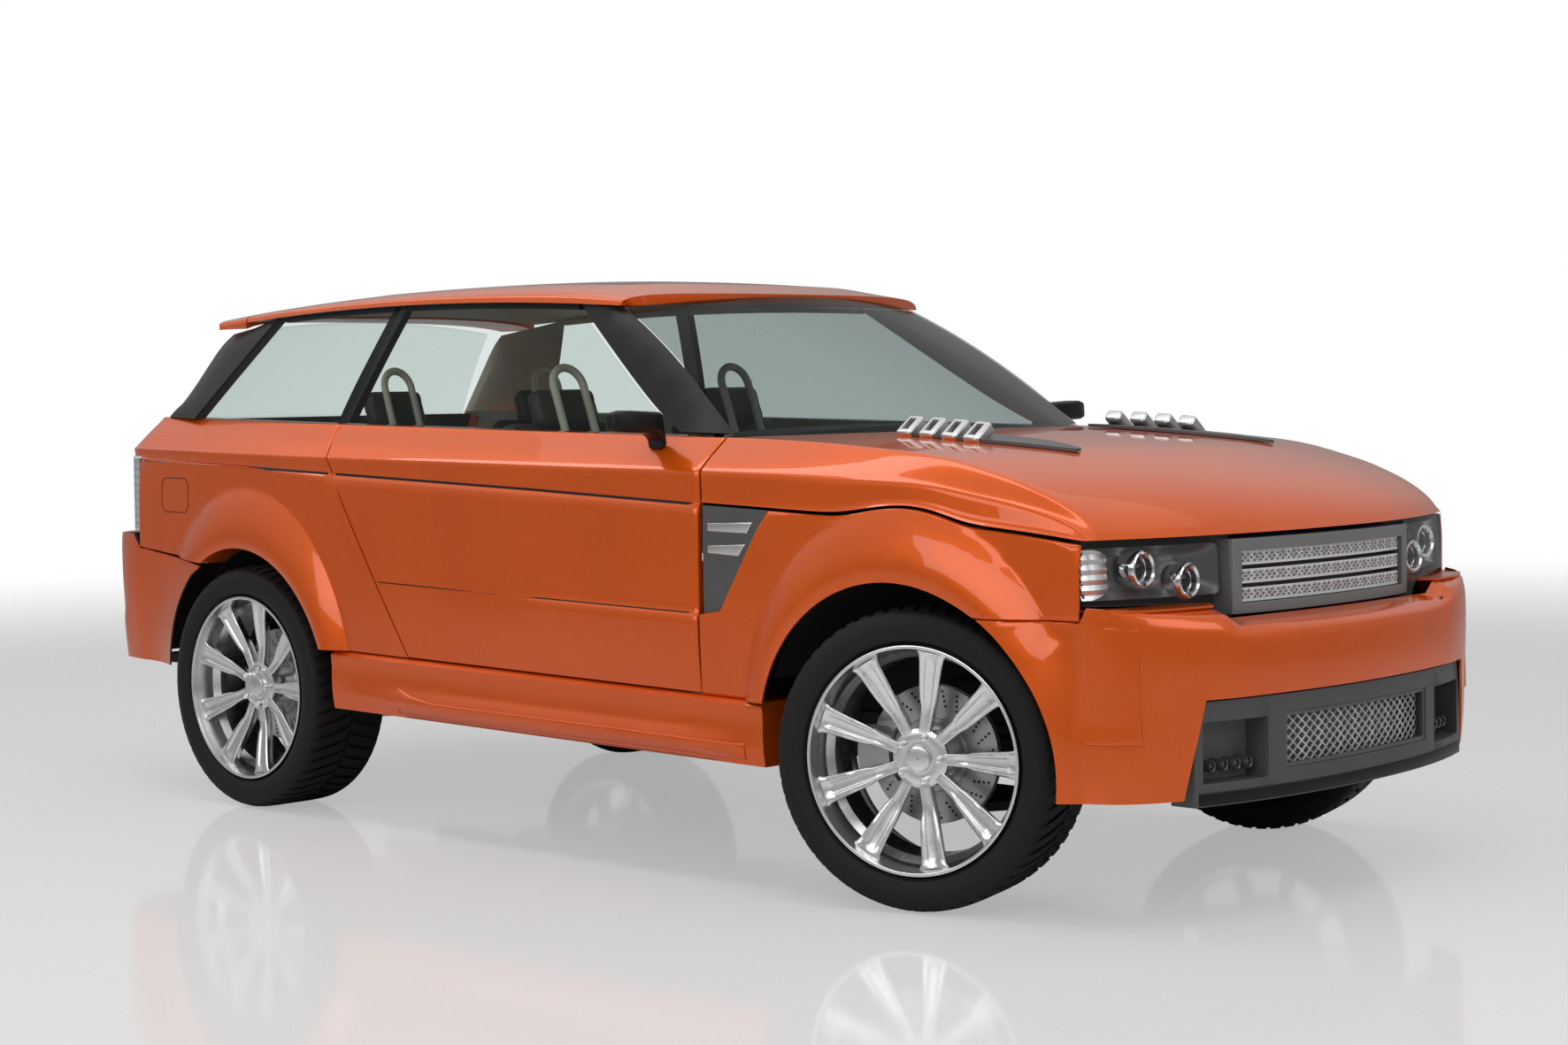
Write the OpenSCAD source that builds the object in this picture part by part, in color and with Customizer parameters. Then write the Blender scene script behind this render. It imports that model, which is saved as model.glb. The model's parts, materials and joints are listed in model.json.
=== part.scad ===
// Two-door sport utility vehicle: body panels, glass, lamps, running gear and cabin.
// X points forward, Y to the left and Z up. The origin is on the ground below the middle of the length.

/* [Overall] */
// Length over the bumpers
overall_l = 4640; // [4600:5:4680]
// Front bumper face to the front axle
front_overhang = 818; // [808:2:828]
// Distance between the axles
wheelbase = 2745; // [2725:5:2765]
// Width over the door skins
body_w = 1850; // [1840:2:1860]
// Height of the roof crown
roof_h = 1664; // [1656:2:1672]

/* [Body lines] */
// Belt line height at mid length
belt_h = 1208; // [1204:1:1212]
// Shoulder crease height at mid length
shoulder_h = 1121; // [1117:1:1125]
// Height of the groove below the shoulder at mid length
groove_h = 1047; // [1043:1:1051]
// Lower door crease height at mid length
crease_h = 739; // [730:1:748]
// Height of the sill top at mid length
sill_h = 517; // [514:1:520]
// Height of the sill's lower edge at mid length
sill_low_h = 341; // [335:1:347]
// Height of the split between front bumper and wing
bumper_split_h = 753; // [748:1:758]
// Front face of the grille at the centre line
nose_x = 2214; // [2208:1:2220]
// How far the wheel arches stand out from the sides
flare_h = 48; // [44:1:52]
// Radius of the wheel arch openings
arch_r = 448; // [444:1:456]

/* [Gaps and walls] */
// Gap along the shut lines of doors and lids
shut_gap = 6; // [5:0.5:7]
// Gap along the joints of fixed panels, at the skin
panel_gap = 4; // [3:0.5:5]
// Gap at the seats of fixed pieces
seat_gap = 0.4; // [0.3:0.05:0.6]
// Thickness of bonnet, wings and bumpers
skin_t = 6; // [5:0.5:8]
// Thickness of doors and quarters
wall_t = 100; // [90:2:104]
// Thickness of the roof
roof_t = 30; // [24:1:34]
// Thickness of the glass
glass_t = 6; // [5:0.5:7]
// Radial clearance of pins and shafts in their bores
run_gap = 0.05; // [0.02:0.01:0.1]

/* [Wheels] */
// Tyre radius
tyre_r = 386; // [382:1:388]
// Half width of the tyre
tyre_w = 143; // [138:1:146]
// Radius of the rim's outer flange
rim_r = 291; // [288:1:294]
// Centre line to the middle of each wheel
track = 797; // [793:1:800]
// Number of spokes
spoke_n = 9; // [5:1:12]
// Width of a spoke
spoke_w = 52; // [40:1:60]
// Steering angle of the front wheels
steer_deg = 16; // [10:1:20]
// Centre line to the steering axis
kingpin_y = 738; // [734:1:740]
// Radius of the brake discs
disc_r = 178; // [165:1:185]

/* [Hidden] */
front_x = overall_l / 2;
fa_x = front_x - front_overhang;
ra_x = fa_x - wheelbase;
door_x = fa_x - 692;
lamp_x = fa_x + 534;
side_end = 2000 + fa_x - 1502;
rear_side_end = -1960;
floor_z = 420;
floor_t = 30;
tub_y = 790;
rail_y = 390;
rail_w = 80;
rail_z = 300;
house_r = arch_r + 34;
house_y = 425;
rear_house_y = 610;
$fn = 64;

function mix(a, b, t) = a + (b - a) * t;
function limit(t) = min(1, max(0, t));
function ease(t) = let (c = limit(t)) c * c * (3 - 2 * c);
function bezier(a, b, c, d, t) =
  a * pow(1 - t, 3) + 3 * b * t * pow(1 - t, 2) + 3 * c * t * t * (1 - t) + d * pow(t, 3);
function span(a, b, n) = [for (i = [0:n]) a + (b - a) * i / n];

// Feature lines along the side
function belt_z(x) = belt_h - 0.021 * x;
function shoulder_z(x) = shoulder_h - 0.0135 * x;
function groove_z(x) = groove_h - 0.037 * x - 26 * pow(max(0, x - fa_x) / 530, 2);
function crease_z(x) = crease_h - 0.022 * x;
function sill_z(x) = sill_h - 0.018 * x;
function sill_low_z(x) = sill_low_h - 0.0145 * x;
function rear_split_z(x) = 790 - 0.086 * (x + 1680);

// Half width of the body in plan
function plan_y(x) =
  body_w / 2 - 65 * pow(max(0, x - fa_x + 472) / 1000, 2) - 49 * pow(max(0, ra_x + 473 - x) / 1000, 2);

// Outer edge of the arch flares: an ellipse about the axle
flare_a = 540;
flare_b = 640;
function flare_at(x, z, cx) =
  let (dx = x - cx, dz = z - tyre_r, r = max(1, norm([dx, dz])))
  let (edge = 1 / norm([dx / r / flare_a, dz / r / flare_b]), d = (r - arch_r) / (edge - arch_r))
  d >= 1 ? 0 : flare_h * (1 - d * abs(d)) - 9 * pow(limit(1 - d / 0.28), 2);
function flare(x, z) = flare_at(x, z, fa_x) + flare_at(x, z, ra_x);
function side_y(x, z) = plan_y(x) - 9 * pow((z - 860) / 350, 2) + flare(x, z);
function flare_top(x, cx) =
  let (e = 1 - pow((x - cx) / flare_a, 2)) e > 0 ? tyre_r + flare_b * sqrt(e) : 0;
function clam_z(x) = max(groove_z(x), flare_top(x, fa_x));
function quarter_z(x) = groove_z(x);

// Arch lip about an axle, widened toward the front bumper for the steered wheel
function lip_r(a) = arch_r + 36 * ease((70 - a) / 70);
function lip(cx, a, wide) = let (r = wide ? lip_r(a) : arch_r) [cx + r * cos(a), tyre_r + r * sin(a)];

// Greenhouse side: half width between belt and roof edge
function edge_z(x) = roof_h - 67 - 24 * pow((x + 650) / 800, 2);
function glass_y(x, z) =
  let (t = (z - belt_z(x)) / (edge_z(x) - belt_z(x)))
  mix(812, 646, pow(limit(t), 1.12)) - 30 * pow(max(0, -900 - x) / 1000, 2);

// Shells: grids of points whose first index times second index points inward
function grid_faces(n, m, s, turn) =
  [for (i = [0:n - 2], j = [0:m - 2]) let (a = s + i * m + j, b = a + 1, c = a + m, d = c + 1)
    each turn ? [[a, b, c], [b, d, c]] : [[a, c, b], [b, c, d]]];
function edge_faces(p, q) =
  [for (k = [0:len(p) - 2]) each [[p[k], p[k + 1], q[k]], [p[k + 1], q[k + 1], q[k]]]];
// Runs of an edge that need a wall: none, all of it, or a list of index pairs
function runs(w, n) = w == 0 ? [] : w == 1 ? [[0, n - 1]] : w;
function patch_faces(n, m, s, walls) =
  let (h = n * m, e = (n - 1) * m)
  concat(grid_faces(n, m, s, false), grid_faces(n, m, s + h, true),
    [for (w = runs(walls[0], m)) each edge_faces([for (j = [w[0]:w[1]]) s + j], [for (j = [w[0]:w[1]]) s + h + j])],
    [for (w = runs(walls[1], m)) each edge_faces([for (j = [w[0]:w[1]]) s + h + e + j],
      [for (j = [w[0]:w[1]]) s + e + j])],
    [for (w = runs(walls[2], n)) each edge_faces([for (i = [w[0]:w[1]]) s + h + i * m],
      [for (i = [w[0]:w[1]]) s + i * m])],
    [for (w = runs(walls[3], n)) each edge_faces([for (i = [w[0]:w[1]]) s + i * m + m - 1],
      [for (i = [w[0]:w[1]]) s + h + i * m + m - 1])]);
function flat_list(g) = [for (r = g) each r];
function patch_start(p, k) = k == 0 ? 0 : patch_start(p, k - 1) + 2 * len(p[k - 1][0]) * len(p[k - 1][0][0]);

// One closed solid from patches of [outer grid, inner grid, edges that need a wall]
module shell(patches) {
  pts = [for (p = patches) each concat(flat_list(p[0]), flat_list(p[1]))];
  tris = [for (k = [0:len(patches) - 1])
    let (g = patches[k][0])
    each patch_faces(len(g), len(g[0]), patch_start(patches, k), patches[k][2])];
  polyhedron(pts, tris);
}

// Inner grid a thickness away along the grid's own normals
function normal_at(g, i, j) =
  let (n = len(g) - 1, m = len(g[0]) - 1)
  let (a = g[min(n, i + 1)][j] - g[max(0, i - 1)][j], b = g[i][min(m, j + 1)] - g[i][max(0, j - 1)])
  let (c = cross(a, b)) c / max(0.001, norm(c));
function inside(g, t) = [for (i = [0:len(g) - 1]) [for (j = [0:len(g[0]) - 1]) g[i][j] + t * normal_at(g, i, j)]];
// Inner grid moved by one vector
function moved(g, v) = [for (r = g) [for (p = r) p + v]];

// Solid along a list of rings of equal length
module loft(rings) {
  n = len(rings);
  m = len(rings[0]);
  walls = [for (i = [0:n - 2], j = [0:m - 1])
    let (a = i * m + j, b = i * m + (j + 1) % m, c = a + m, d = b + m)
    each [[a, c, b], [b, c, d]]];
  polyhedron(flat_list(rings), concat(walls, [[for (j = [0:m - 1]) j]], [[for (j = [m - 1:-1:0]) (n - 1) * m + j]]));
}

module both() {
  children();
  mirror([0, 1, 0]) children();
}

// A tube or disc about the Y axis from y0 to y1
module ring_y(r_out, r_in, y0, y1) {
  translate([0, y1, 0]) rotate([90, 0, 0]) difference() {
    cylinder(r = r_out, h = y1 - y0);
    if (r_in > 0) translate([0, 0, -1]) cylinder(r = r_in, h = y1 - y0 + 2);
  }
}

module rod(a, b, r) {
  v = b - a;
  translate(a) rotate([0, acos(v[2] / norm(v)), atan2(v[1], v[0])]) cylinder(r = r, h = norm(v));
}

module box(a, b) translate(a) cube(b - a);

// Body tub: floor, bulkhead, wheel houses and inner panels
bulkhead_x = fa_x - 602;
slam_x = nose_x - 150;
post_x = door_x + 44;
buffer_drop = 13.4;
crash_x = -front_x + 22.6;

module wheel_house(cx, y0, y1, cut_z) {
  difference() {
    translate([cx, 0, tyre_r]) ring_y(house_r + 8, house_r, y0, y1);
    box([cx - 600, y0 - 1, -300], [cx + 600, y1 + 1, cut_z]);
  }
  difference() {
    translate([cx, 0, tyre_r]) ring_y(house_r + 8, 0, y0 - 10, y0);
    box([cx - 600, y0 - 11, -300], [cx + 600, y0 + 1, cut_z]);
    translate([cx, 0, tyre_r]) ring_y(110, 0, y0 - 11, y0 + 1);
  }
}

module body_tub() {
  color("dimgray") {
    difference() {
      union() {
        box([ra_x - 660, -tub_y, floor_z], [bulkhead_x, tub_y, floor_z + floor_t]);
        box([bulkhead_x - floor_t, 62 - tub_y, floor_z], [bulkhead_x, tub_y - 62, 1090]);
        box([ra_x - 660, -560, floor_z], [ra_x - 640, 560, 900]);
        box([rear_x + gate_t + 2.4, -40, 872], [ra_x - 650, 40, 900]);
        both() box([crash_x, 180, 690], [ra_x - 650, 240, 716]);
        both() box([bulkhead_x, house_y - 25, floor_z], [slam_x, house_y - 10, 830]);
        box([slam_x, -400, floor_z], [slam_x + 20, 400, 850]);
        both() translate([slam_x + 10, 300, 849]) cylinder(r = 10, h = bonnet_z(slam_x + 10, 300) - buffer_drop - 849);
        both() box([post_x, tub_y - 60, floor_z], [bulkhead_x, tub_y, 1060]);
        both() box([post_x - 62, tub_y - 20, sill_h + 4], [post_x + 1, tub_y + 20, 1060]);
      }
      both() translate([ra_x, 0, tyre_r]) ring_y(house_r + 4, 0, rear_house_y - 1, 1000);
    }
    both() wheel_house(fa_x, house_y, 880, 560);
    both() wheel_house(ra_x, rear_house_y, tub_y - 10, floor_z);
    both() for (z = [600, 950]) door_hinge_pin(z);
  }
}

// Door hinge axis: inboard of the skin and behind the shut line
hinge_x = door_x - 70;
hinge_y = body_w / 2 - 40;
hinge_r = 8;

module door_hinge_pin(z) {
  translate([hinge_x, hinge_y, z - 34]) cylinder(r = hinge_r, h = 68);
  for (d = [-34, 26]) translate([0, 0, z + d]) difference() {
    union() {
      translate([hinge_x, hinge_y, 0]) cylinder(r = hinge_r + 6, h = 8);
      linear_extrude(8) polygon([[hinge_x - 8, hinge_y], [hinge_x - 8, tub_y - 24], [post_x + 20, tub_y - 24],
        [post_x + 20, tub_y - 1], [hinge_x + 8, tub_y - 1], [hinge_x + 8, hinge_y]]);
    }
  }
}

module door_hinge_leaf(z) {
  translate([0, 0, z - 25]) difference() {
    union() {
      translate([hinge_x, hinge_y, 0]) cylinder(r = hinge_r + 6, h = 50);
      translate([hinge_x - 92, hinge_y + 2, 0]) cube([92, 10, 50]);
    }
    translate([hinge_x, hinge_y, -1]) cylinder(r = hinge_r + run_gap, h = 52);
  }
}

// Chassis frame: two rails, cross members and jacking pads
module chassis_frame() {
  color("black") {
    both() difference() {
      box([ra_x - 620, rail_y - rail_w / 2, rail_z], [slam_x + 20, rail_y + rail_w / 2, floor_z]);
      for (x = [ra_x, fa_x])
        translate([x, rail_y + rail_w, tyre_r]) rotate([90, 0, 0]) cylinder(r = 24, h = rail_w * 2);
    }
    for (x = [ra_x - 500, ra_x + 420, -150, 500, fa_x - 260, fa_x + 300])
      box([x - 40, -rail_y + rail_w / 2 + seat_gap, floor_z - 40], [x + 40, rail_y - rail_w / 2 - seat_gap, floor_z - 2]);
    both() for (x = [ra_x + 620, fa_x - 640])
      translate([x, rail_y, rail_z - 14]) cylinder(r = 35, h = 14 - seat_gap);
    both() for (x = [ra_x + 560, 0, fa_x - 620])
      box([x - 30, rail_y + rail_w / 2 + seat_gap, floor_z - 60], [x + 30, tub_y - 120, floor_z]);
  }
}

module engine_block() {
  color("slategray") {
    box([fa_x - 330, -230, floor_z + 10], [fa_x + 420, 230, 930]);
    both() box([fa_x - 60, 230, floor_z], [fa_x + 60, rail_y + 10, floor_z + 60]);
    box([fa_x - 560, -150, floor_z + 60], [fa_x - 330, 150, 760]);
  }
}

module exhaust() {
  color("silver") {
    rod([fa_x - 700, 200, 335], [ra_x + 560, 200, 335], 32);
    box([ra_x + 150, 90, 285], [ra_x + 561, 320, 375]);
    box([ra_x + 300, 190, 374], [ra_x + 330, 210, floor_z]);
    rod([ra_x + 151, 200, 335], [ra_x - 700, 200, 335], 30);
    box([ra_x - 620, 190, 350], [ra_x - 600, 210, floor_z]);
  }
}

module fuel_tank() {
  color("dimgray") box([ra_x + 480, -340, 300], [ra_x + 980, -100, floor_z - 42]);
  color("dimgray") box([ra_x + 500, -340, 370], [ra_x + 900, -100, floor_z]);
}

// Final drives and half shafts, on the frame
module driveline() {
  color("dimgray") {
    box([ra_x - 120, -90, tyre_r - 90], [ra_x + 120, 90, floor_z]);
    box([fa_x - 120, -90, tyre_r - 90], [fa_x + 120, 90, floor_z + 10]);
    both() rod([ra_x, 89, tyre_r], [ra_x, track - 118 - seat_gap, tyre_r], 18);
    both() rod([fa_x, 89, tyre_r], [fa_x, 520, tyre_r], 18);
    rod([ra_x + 119, -40, 345], [fa_x - 119, -40, 345], 22);
  }
}

// Suspension arms from the rails to the knuckles
arm_pin_r = 10;
low_arm_z = 226;
high_arm_z = 540;

module front_arms() {
  color("dimgray") both() translate([fa_x, 0, 0]) {
    translate([0, 0, low_arm_z]) linear_extrude(24) polygon([[-190, rail_y - 20], [190, rail_y - 20],
      [190, rail_y + 40], [22, kingpin_y], [-22, kingpin_y], [-190, rail_y + 40]]);
    translate([0, kingpin_y, low_arm_z]) cylinder(r = 22, h = 24);
    translate([0, kingpin_y, low_arm_z + 23]) cylinder(r = arm_pin_r, h = 50);
    for (x = [-190, 120]) box([x, rail_y - 20, low_arm_z + 23], [x + 70, rail_y + 40, rail_z]);
    translate([0, 0, high_arm_z]) linear_extrude(22) polygon([[-120, house_y], [120, house_y], [20, kingpin_y],
      [-20, kingpin_y]]);
    translate([0, kingpin_y, high_arm_z]) cylinder(r = 20, h = 22);
    translate([0, kingpin_y, high_arm_z - 49]) cylinder(r = arm_pin_r, h = 50);
  }
}

module rear_arms() {
  color("dimgray") both() translate([ra_x, 0, 0]) {
    translate([0, 0, 262]) linear_extrude(24) polygon([[-190, rail_y - 20], [190, rail_y - 20],
      [190, rail_y + 40], [30, track - 90], [-30, track - 90], [-190, rail_y + 40]]);
    for (x = [-190, 120]) box([x, rail_y - 20, 285], [x + 70, rail_y + 40, rail_z]);
    upright();
    caliper(1);
  }
}

// Hub carrier: upright, spindle and brake caliper, about the wheel centre
spindle_r = 20;

module upright() {
  translate([0, 0, tyre_r]) {
    ring_y(56, 0, track - 118, track - 84);
    ring_y(spindle_r, 0, track - 86, track + 66);
  }
  box([-26, track - 118, 270], [26, track - 90, tyre_r]);
}

module caliper(side) {
  translate([0, track, tyre_r]) difference() {
    intersection() {
      ring_y(disc_r + 26, disc_r - 62, -78, 16);
      box([min(side * 90, side * 260), -90, -72], [max(side * 90, side * 260), 20, 72]);
    }
    ring_y(disc_r + 8, 0, -40, -2);
  }
  box([min(side * 30, side * 150), track - 116, tyre_r - 22], [max(side * 30, side * 150), track - 70, tyre_r + 22]);
}

module knuckle() {
  difference() {
    union() {
      upright();
      caliper(-1);
      translate([0, kingpin_y, low_arm_z + 32]) cylinder(r = 18, h = 34);
      box([-18, track - 118, low_arm_z + 32], [18, kingpin_y, low_arm_z + 66]);
      translate([0, kingpin_y, high_arm_z - 44]) cylinder(r = 18, h = 34);
      box([-18, track - 118, high_arm_z - 44], [18, kingpin_y, high_arm_z - 10]);
      box([-18, track - 118, tyre_r], [18, track - 92, high_arm_z - 10]);
    }
    translate([0, kingpin_y, low_arm_z + 20]) cylinder(r = arm_pin_r + run_gap, h = 60);
    translate([0, kingpin_y, high_arm_z - 60]) cylinder(r = arm_pin_r + run_gap, h = 56);
  }
}

module steered() {
  translate([fa_x, kingpin_y, 0]) rotate([0, 0, steer_deg]) translate([0, -kingpin_y, 0]) children();
}

module steered_right() {
  translate([fa_x, -kingpin_y, 0]) rotate([0, 0, steer_deg]) translate([0, kingpin_y, 0]) mirror([0, 1, 0]) children();
}

module knuckle_l() color("dimgray") steered() knuckle();
module knuckle_r() color("dimgray") steered_right() knuckle();

// Wheel: rim barrel, hub, spokes and brake disc, outer face toward +Y
module wheel() {
  w = tyre_w - 8;
  translate([0, track, tyre_r]) {
    rotate([-90, 0, 0]) rotate_extrude($fn = 96) polygon([[rim_r, w], [rim_r, w - 10], [rim_r - 12, w - 17],
      [rim_r - 12, 62], [rim_r - 28, 42], [rim_r - 28, -42], [rim_r - 12, -62], [rim_r - 12, 17 - w],
      [rim_r, 10 - w], [rim_r, -w], [rim_r - 9, -w], [rim_r - 20, -66], [rim_r - 36, -46], [rim_r - 36, 46],
      [rim_r - 22, 66], [rim_r - 19, w - 24], [rim_r - 8, w]]);
    difference() {
      union() {
        ring_y(80, 0, 34, 88);
        for (k = [0:spoke_n - 1]) rotate([0, k * 360 / spoke_n, 0]) spoke(w);
        ring_y(70, 0, -9, 36);
        ring_y(disc_r, 0, -34, -8);
        ring_y(96, 0, -10, 4);
      }
      ring_y(spindle_r + run_gap, 0, -100, 72);
    }
  }
}

module spoke(w) {
  translate([0, 0, 0]) rotate([90, 0, 90]) translate([0, 0, 0]) linear_extrude(spoke_w, center = true)
    polygon([[88, 60], [92, 120], [112, 165], [w - 12, rim_r - 15], [w - 46, rim_r - 16], [76, 165], [52, 120], [44, 60]]);
}

module wheel_fl() color("silver") steered() wheel();
module wheel_fr() color("silver") steered_right() wheel();
module wheel_rl() color("silver") translate([ra_x, 0, 0]) wheel();
module wheel_rr() color("silver") translate([ra_x, 0, 0]) mirror([0, 1, 0]) wheel();

module tyre() {
  b = tyre_w - 26;
  translate([0, track, tyre_r]) rotate([-90, 0, 0]) rotate_extrude($fn = 96) polygon([
    [rim_r - 11.6, -b], [rim_r + 2, 0.5 - b], [rim_r + 12, 6 - tyre_w], [rim_r + 46, -tyre_w], [tyre_r - 18, 5 - tyre_w],
    [tyre_r - 5, 20 - tyre_w], [tyre_r, 44 - tyre_w], [tyre_r, tyre_w - 44], [tyre_r - 5, tyre_w - 20],
    [tyre_r - 18, tyre_w - 5], [rim_r + 46, tyre_w], [rim_r + 12, tyre_w - 6], [rim_r + 2, b - 0.5], [rim_r - 11.6, b]]);
}

module tyre_fl() color([0.1, 0.1, 0.1]) steered() tyre();
module tyre_fr() color([0.1, 0.1, 0.1]) steered_right() tyre();
module tyre_rl() color([0.1, 0.1, 0.1]) translate([ra_x, 0, 0]) tyre();
module tyre_rr() color([0.1, 0.1, 0.1]) translate([ra_x, 0, 0]) mirror([0, 1, 0]) tyre();

// Wings and quarters: fans of points from the arch lip out to the panel's edge
fan_v = [0, 0.09, 0.28, 0.5, 0.75, 0.92, 1, 1.3, 1.7, 1.94, 2];
// Share of the way from lip to edge at which the flare ends
function flare_end(p, q, cx, lo, hi, n) =
  let (m = (lo + hi) / 2, s = mix(p, q, m))
  n == 0 ? m : flare_gone(s, cx) ? flare_end(p, q, cx, lo, m, n - 1) : flare_end(p, q, cx, m, hi, n - 1);
function flare_gone(p, cx) = pow((p[0] - cx) / flare_a, 2) + pow((p[1] - tyre_r) / flare_b, 2) > 1;
function fan(lips, edges, cx, fall, dy) =
  [for (i = [0:len(lips) - 1])
    let (m = min(0.86, flare_end(lips[i], edges[i], cx, 0, 1, 12)), n = len(fan_v) - 1)
    [for (k = [0:n])
      let (v = fan_v[k], p = mix(lips[i], edges[i], v <= 1 ? v * m : mix(m, 1, v - 1)))
      [p[0], side_y(p[0], p[1]) - (k == n ? fall[i] : 0) - dy, p[1]]]];
// Points along a polyline, a number of steps for each of its lengths
function along(p, steps) =
  [each [for (k = [0:len(steps) - 1], i = [0:steps[k] - 1]) mix(p[k], p[k + 1], i / steps[k])], p[len(p) - 1]];
function sum(v, k) = k < 0 ? 0 : v[k] + sum(v, k - 1);

// Front wing, with the side vent let into its upper rear corner
vent_low = 722;
vent_back = 75;
vent_top = 248;
wing_steps = [5, 2, 5, 12, 4];
clam_gap = shut_gap / 2 + 2.2;
wing_n = sum(wing_steps, 4);
function wing_edges(g, low, v) =
  let (x0 = door_x + g, x3 = door_x + vent_top + v, x4 = lamp_x - panel_gap / 2)
  let (c = along([[x0, sill_z(x0) + low], [x0, vent_low - v], [door_x + vent_back + v, vent_low + 10 - v],
    [x3, clam_z(x3) - clam_gap], [x4, clam_z(x4) - clam_gap], [x4, bumper_split_h + low]], wing_steps))
  [for (i = [0:wing_n]) let (x = c[i][0])
    i > 12 && i <= 24 ? [x, clam_z(x) - clam_gap - 2 * ease((x - lamp_x + 200) / 150)] : c[i]];
function wing_lips(low) =
  let (a0 = 180 - asin((sill_z(fa_x - 434) + low - tyre_r) / arch_r), z1 = bumper_split_h + low - tyre_r)
  let (a1 = asin(z1 / lip_r(asin(z1 / lip_r(54)))))
  [for (i = [0:wing_n]) lip(fa_x, mix(a0, a1, i / wing_n), true)];

module wing() {
  fall = [for (i = [0:wing_n]) i >= 12 && i <= 24 ? 9 : 0];
  g = fan(wing_lips(panel_gap), wing_edges(shut_gap / 2, panel_gap, panel_gap), fa_x, fall, 0);
  h = fan(wing_lips(seat_gap), wing_edges(shut_gap / 2 + 6, seat_gap, seat_gap), fa_x, fall, skin_t);
  shell([[g, h, [1, 1, 1, 1]]]);
}

module front_wings() color("orange") both() wing();

module side_vent() {
  g = [for (u = span(0, 1, 4)) [for (v = span(0, 1, 4))
    let (x0 = door_x + shut_gap / 2 + 6, x1 = door_x + mix(vent_back, vent_top, v) - 0.3)
    let (x = mix(x0, x1, u), z = mix(vent_low + 10 * u, clam_z(x) - shut_gap / 2 - 2, v))
    [x, side_y(x, z) - 12, z]]];
  h = [for (r = g) [for (p = r) [p[0] + (p[0] < door_x + 24 ? 8 : 0), p[1] - 18, p[2]]]];
  shell([[g, h, [1, 1, 1, 1]]]);
}

module side_vents() color("gray") both() side_vent();

// Rear edge of the door, by height between sill and belt
// Lean of the shut face between door and quarter, skin to inner side
door_lap = 12;
slant_gap = shut_gap * 1.2;
door_low_x = -424;
door_groove_x = -784;
function door_rear_x(x, z) =
  let (s = sill_z(door_low_x), g = groove_z(door_groove_x), h = shoulder_z(-812))
  z < g ? mix(door_low_x, door_groove_x, (z - s) / (g - s)) : z < h ? mix(door_groove_x, -812, (z - g) / (h - g))
  : mix(-812, -872, (z - h) / (belt_z(-872) - h));
tail_x = -1922;
rear_x = -2215;
tail_end = 0.45;

// Rear quarter: arch fan up to the groove, then the shoulder strip round to the tailgate
quarter_steps = [4, 13, 8];
quarter_n = sum(quarter_steps, 2);
function quarter_edges(g, low) =
  let (x1 = door_groove_x - g)
  let (c = along([[tail_x, rear_split_z(tail_x) + low], [tail_x, groove_z(tail_x)], [x1, groove_z(x1)],
    [door_rear_x(0, sill_z(door_low_x) + low) - g, sill_z(door_low_x) + low]], quarter_steps))
  [for (i = [0:quarter_n]) i > 3 && i < 18 ? [c[i][0], quarter_z(c[i][0])] : c[i]];
function quarter_lips(low) =
  let (a0 = asin((sill_z(ra_x + 430) + low - tyre_r) / arch_r))
  let (a1 = 180 - asin((rear_split_z(ra_x - 250) + low - tyre_r) / arch_r))
  [for (i = [0:quarter_n]) lip(ra_x, mix(a1, a0, i / quarter_n), false)];

// Shoulder strip rows: height from groove (0) over shoulder (1) to belt (2), and inset from the plan width
strip_rows = [[0, 9], [0.12, 11], [0.9, 8], [1, 14], [1.4, 50], [1.86, 100], [2, 112]];
function strip_z(x, v) =
  let (s = shoulder_z(x)) v <= 1 ? mix(quarter_z(x), s, v) : mix(s, belt_z(x), v - 1);
// How far the strip's front end leans back at a row
function lean(v) = v <= 1 ? 28 * v : 28 + 60 * (v - 1);
function strip(xs, dy) =
  [for (x0 = xs) [for (r = strip_rows)
    let (x = x0 - lean(r[0]) * (x0 - tail_x) / (door_groove_x - tail_x), z = strip_z(x, r[0]))
    [x, (r[0] == 0 ? side_y(x, z) : plan_y(x)) - r[1] - dy, z]]];

// Plan of the rear end from the side (0) to the centre line (1)
function rear_plan(s, out) =
  let (y0 = plan_y(tail_x))
  bezier([tail_x, y0], [tail_x - 190 - out, y0 - 30], [rear_x + 25 - out, 640], [rear_x - out, 0], s);
function rear_dir(s, out) =
  let (d = rear_plan(min(1, s + 0.01), out) - rear_plan(max(0, s - 0.01), out)) d / norm(d);
// Point of the rear end, moved inward by an inset; s from 0 (left) over 1 (centre) to 2 (right)
function rear_pt(s, z, inset, out = 0) =
  let (m = s > 1 ? 2 - s : s, p = rear_plan(m, out), d = rear_dir(m, out))
  let (q = [p[0] - d[1] * inset, p[1] + d[0] * inset])
  [q[0], s > 1 ? -q[1] : q[1], z];

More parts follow.
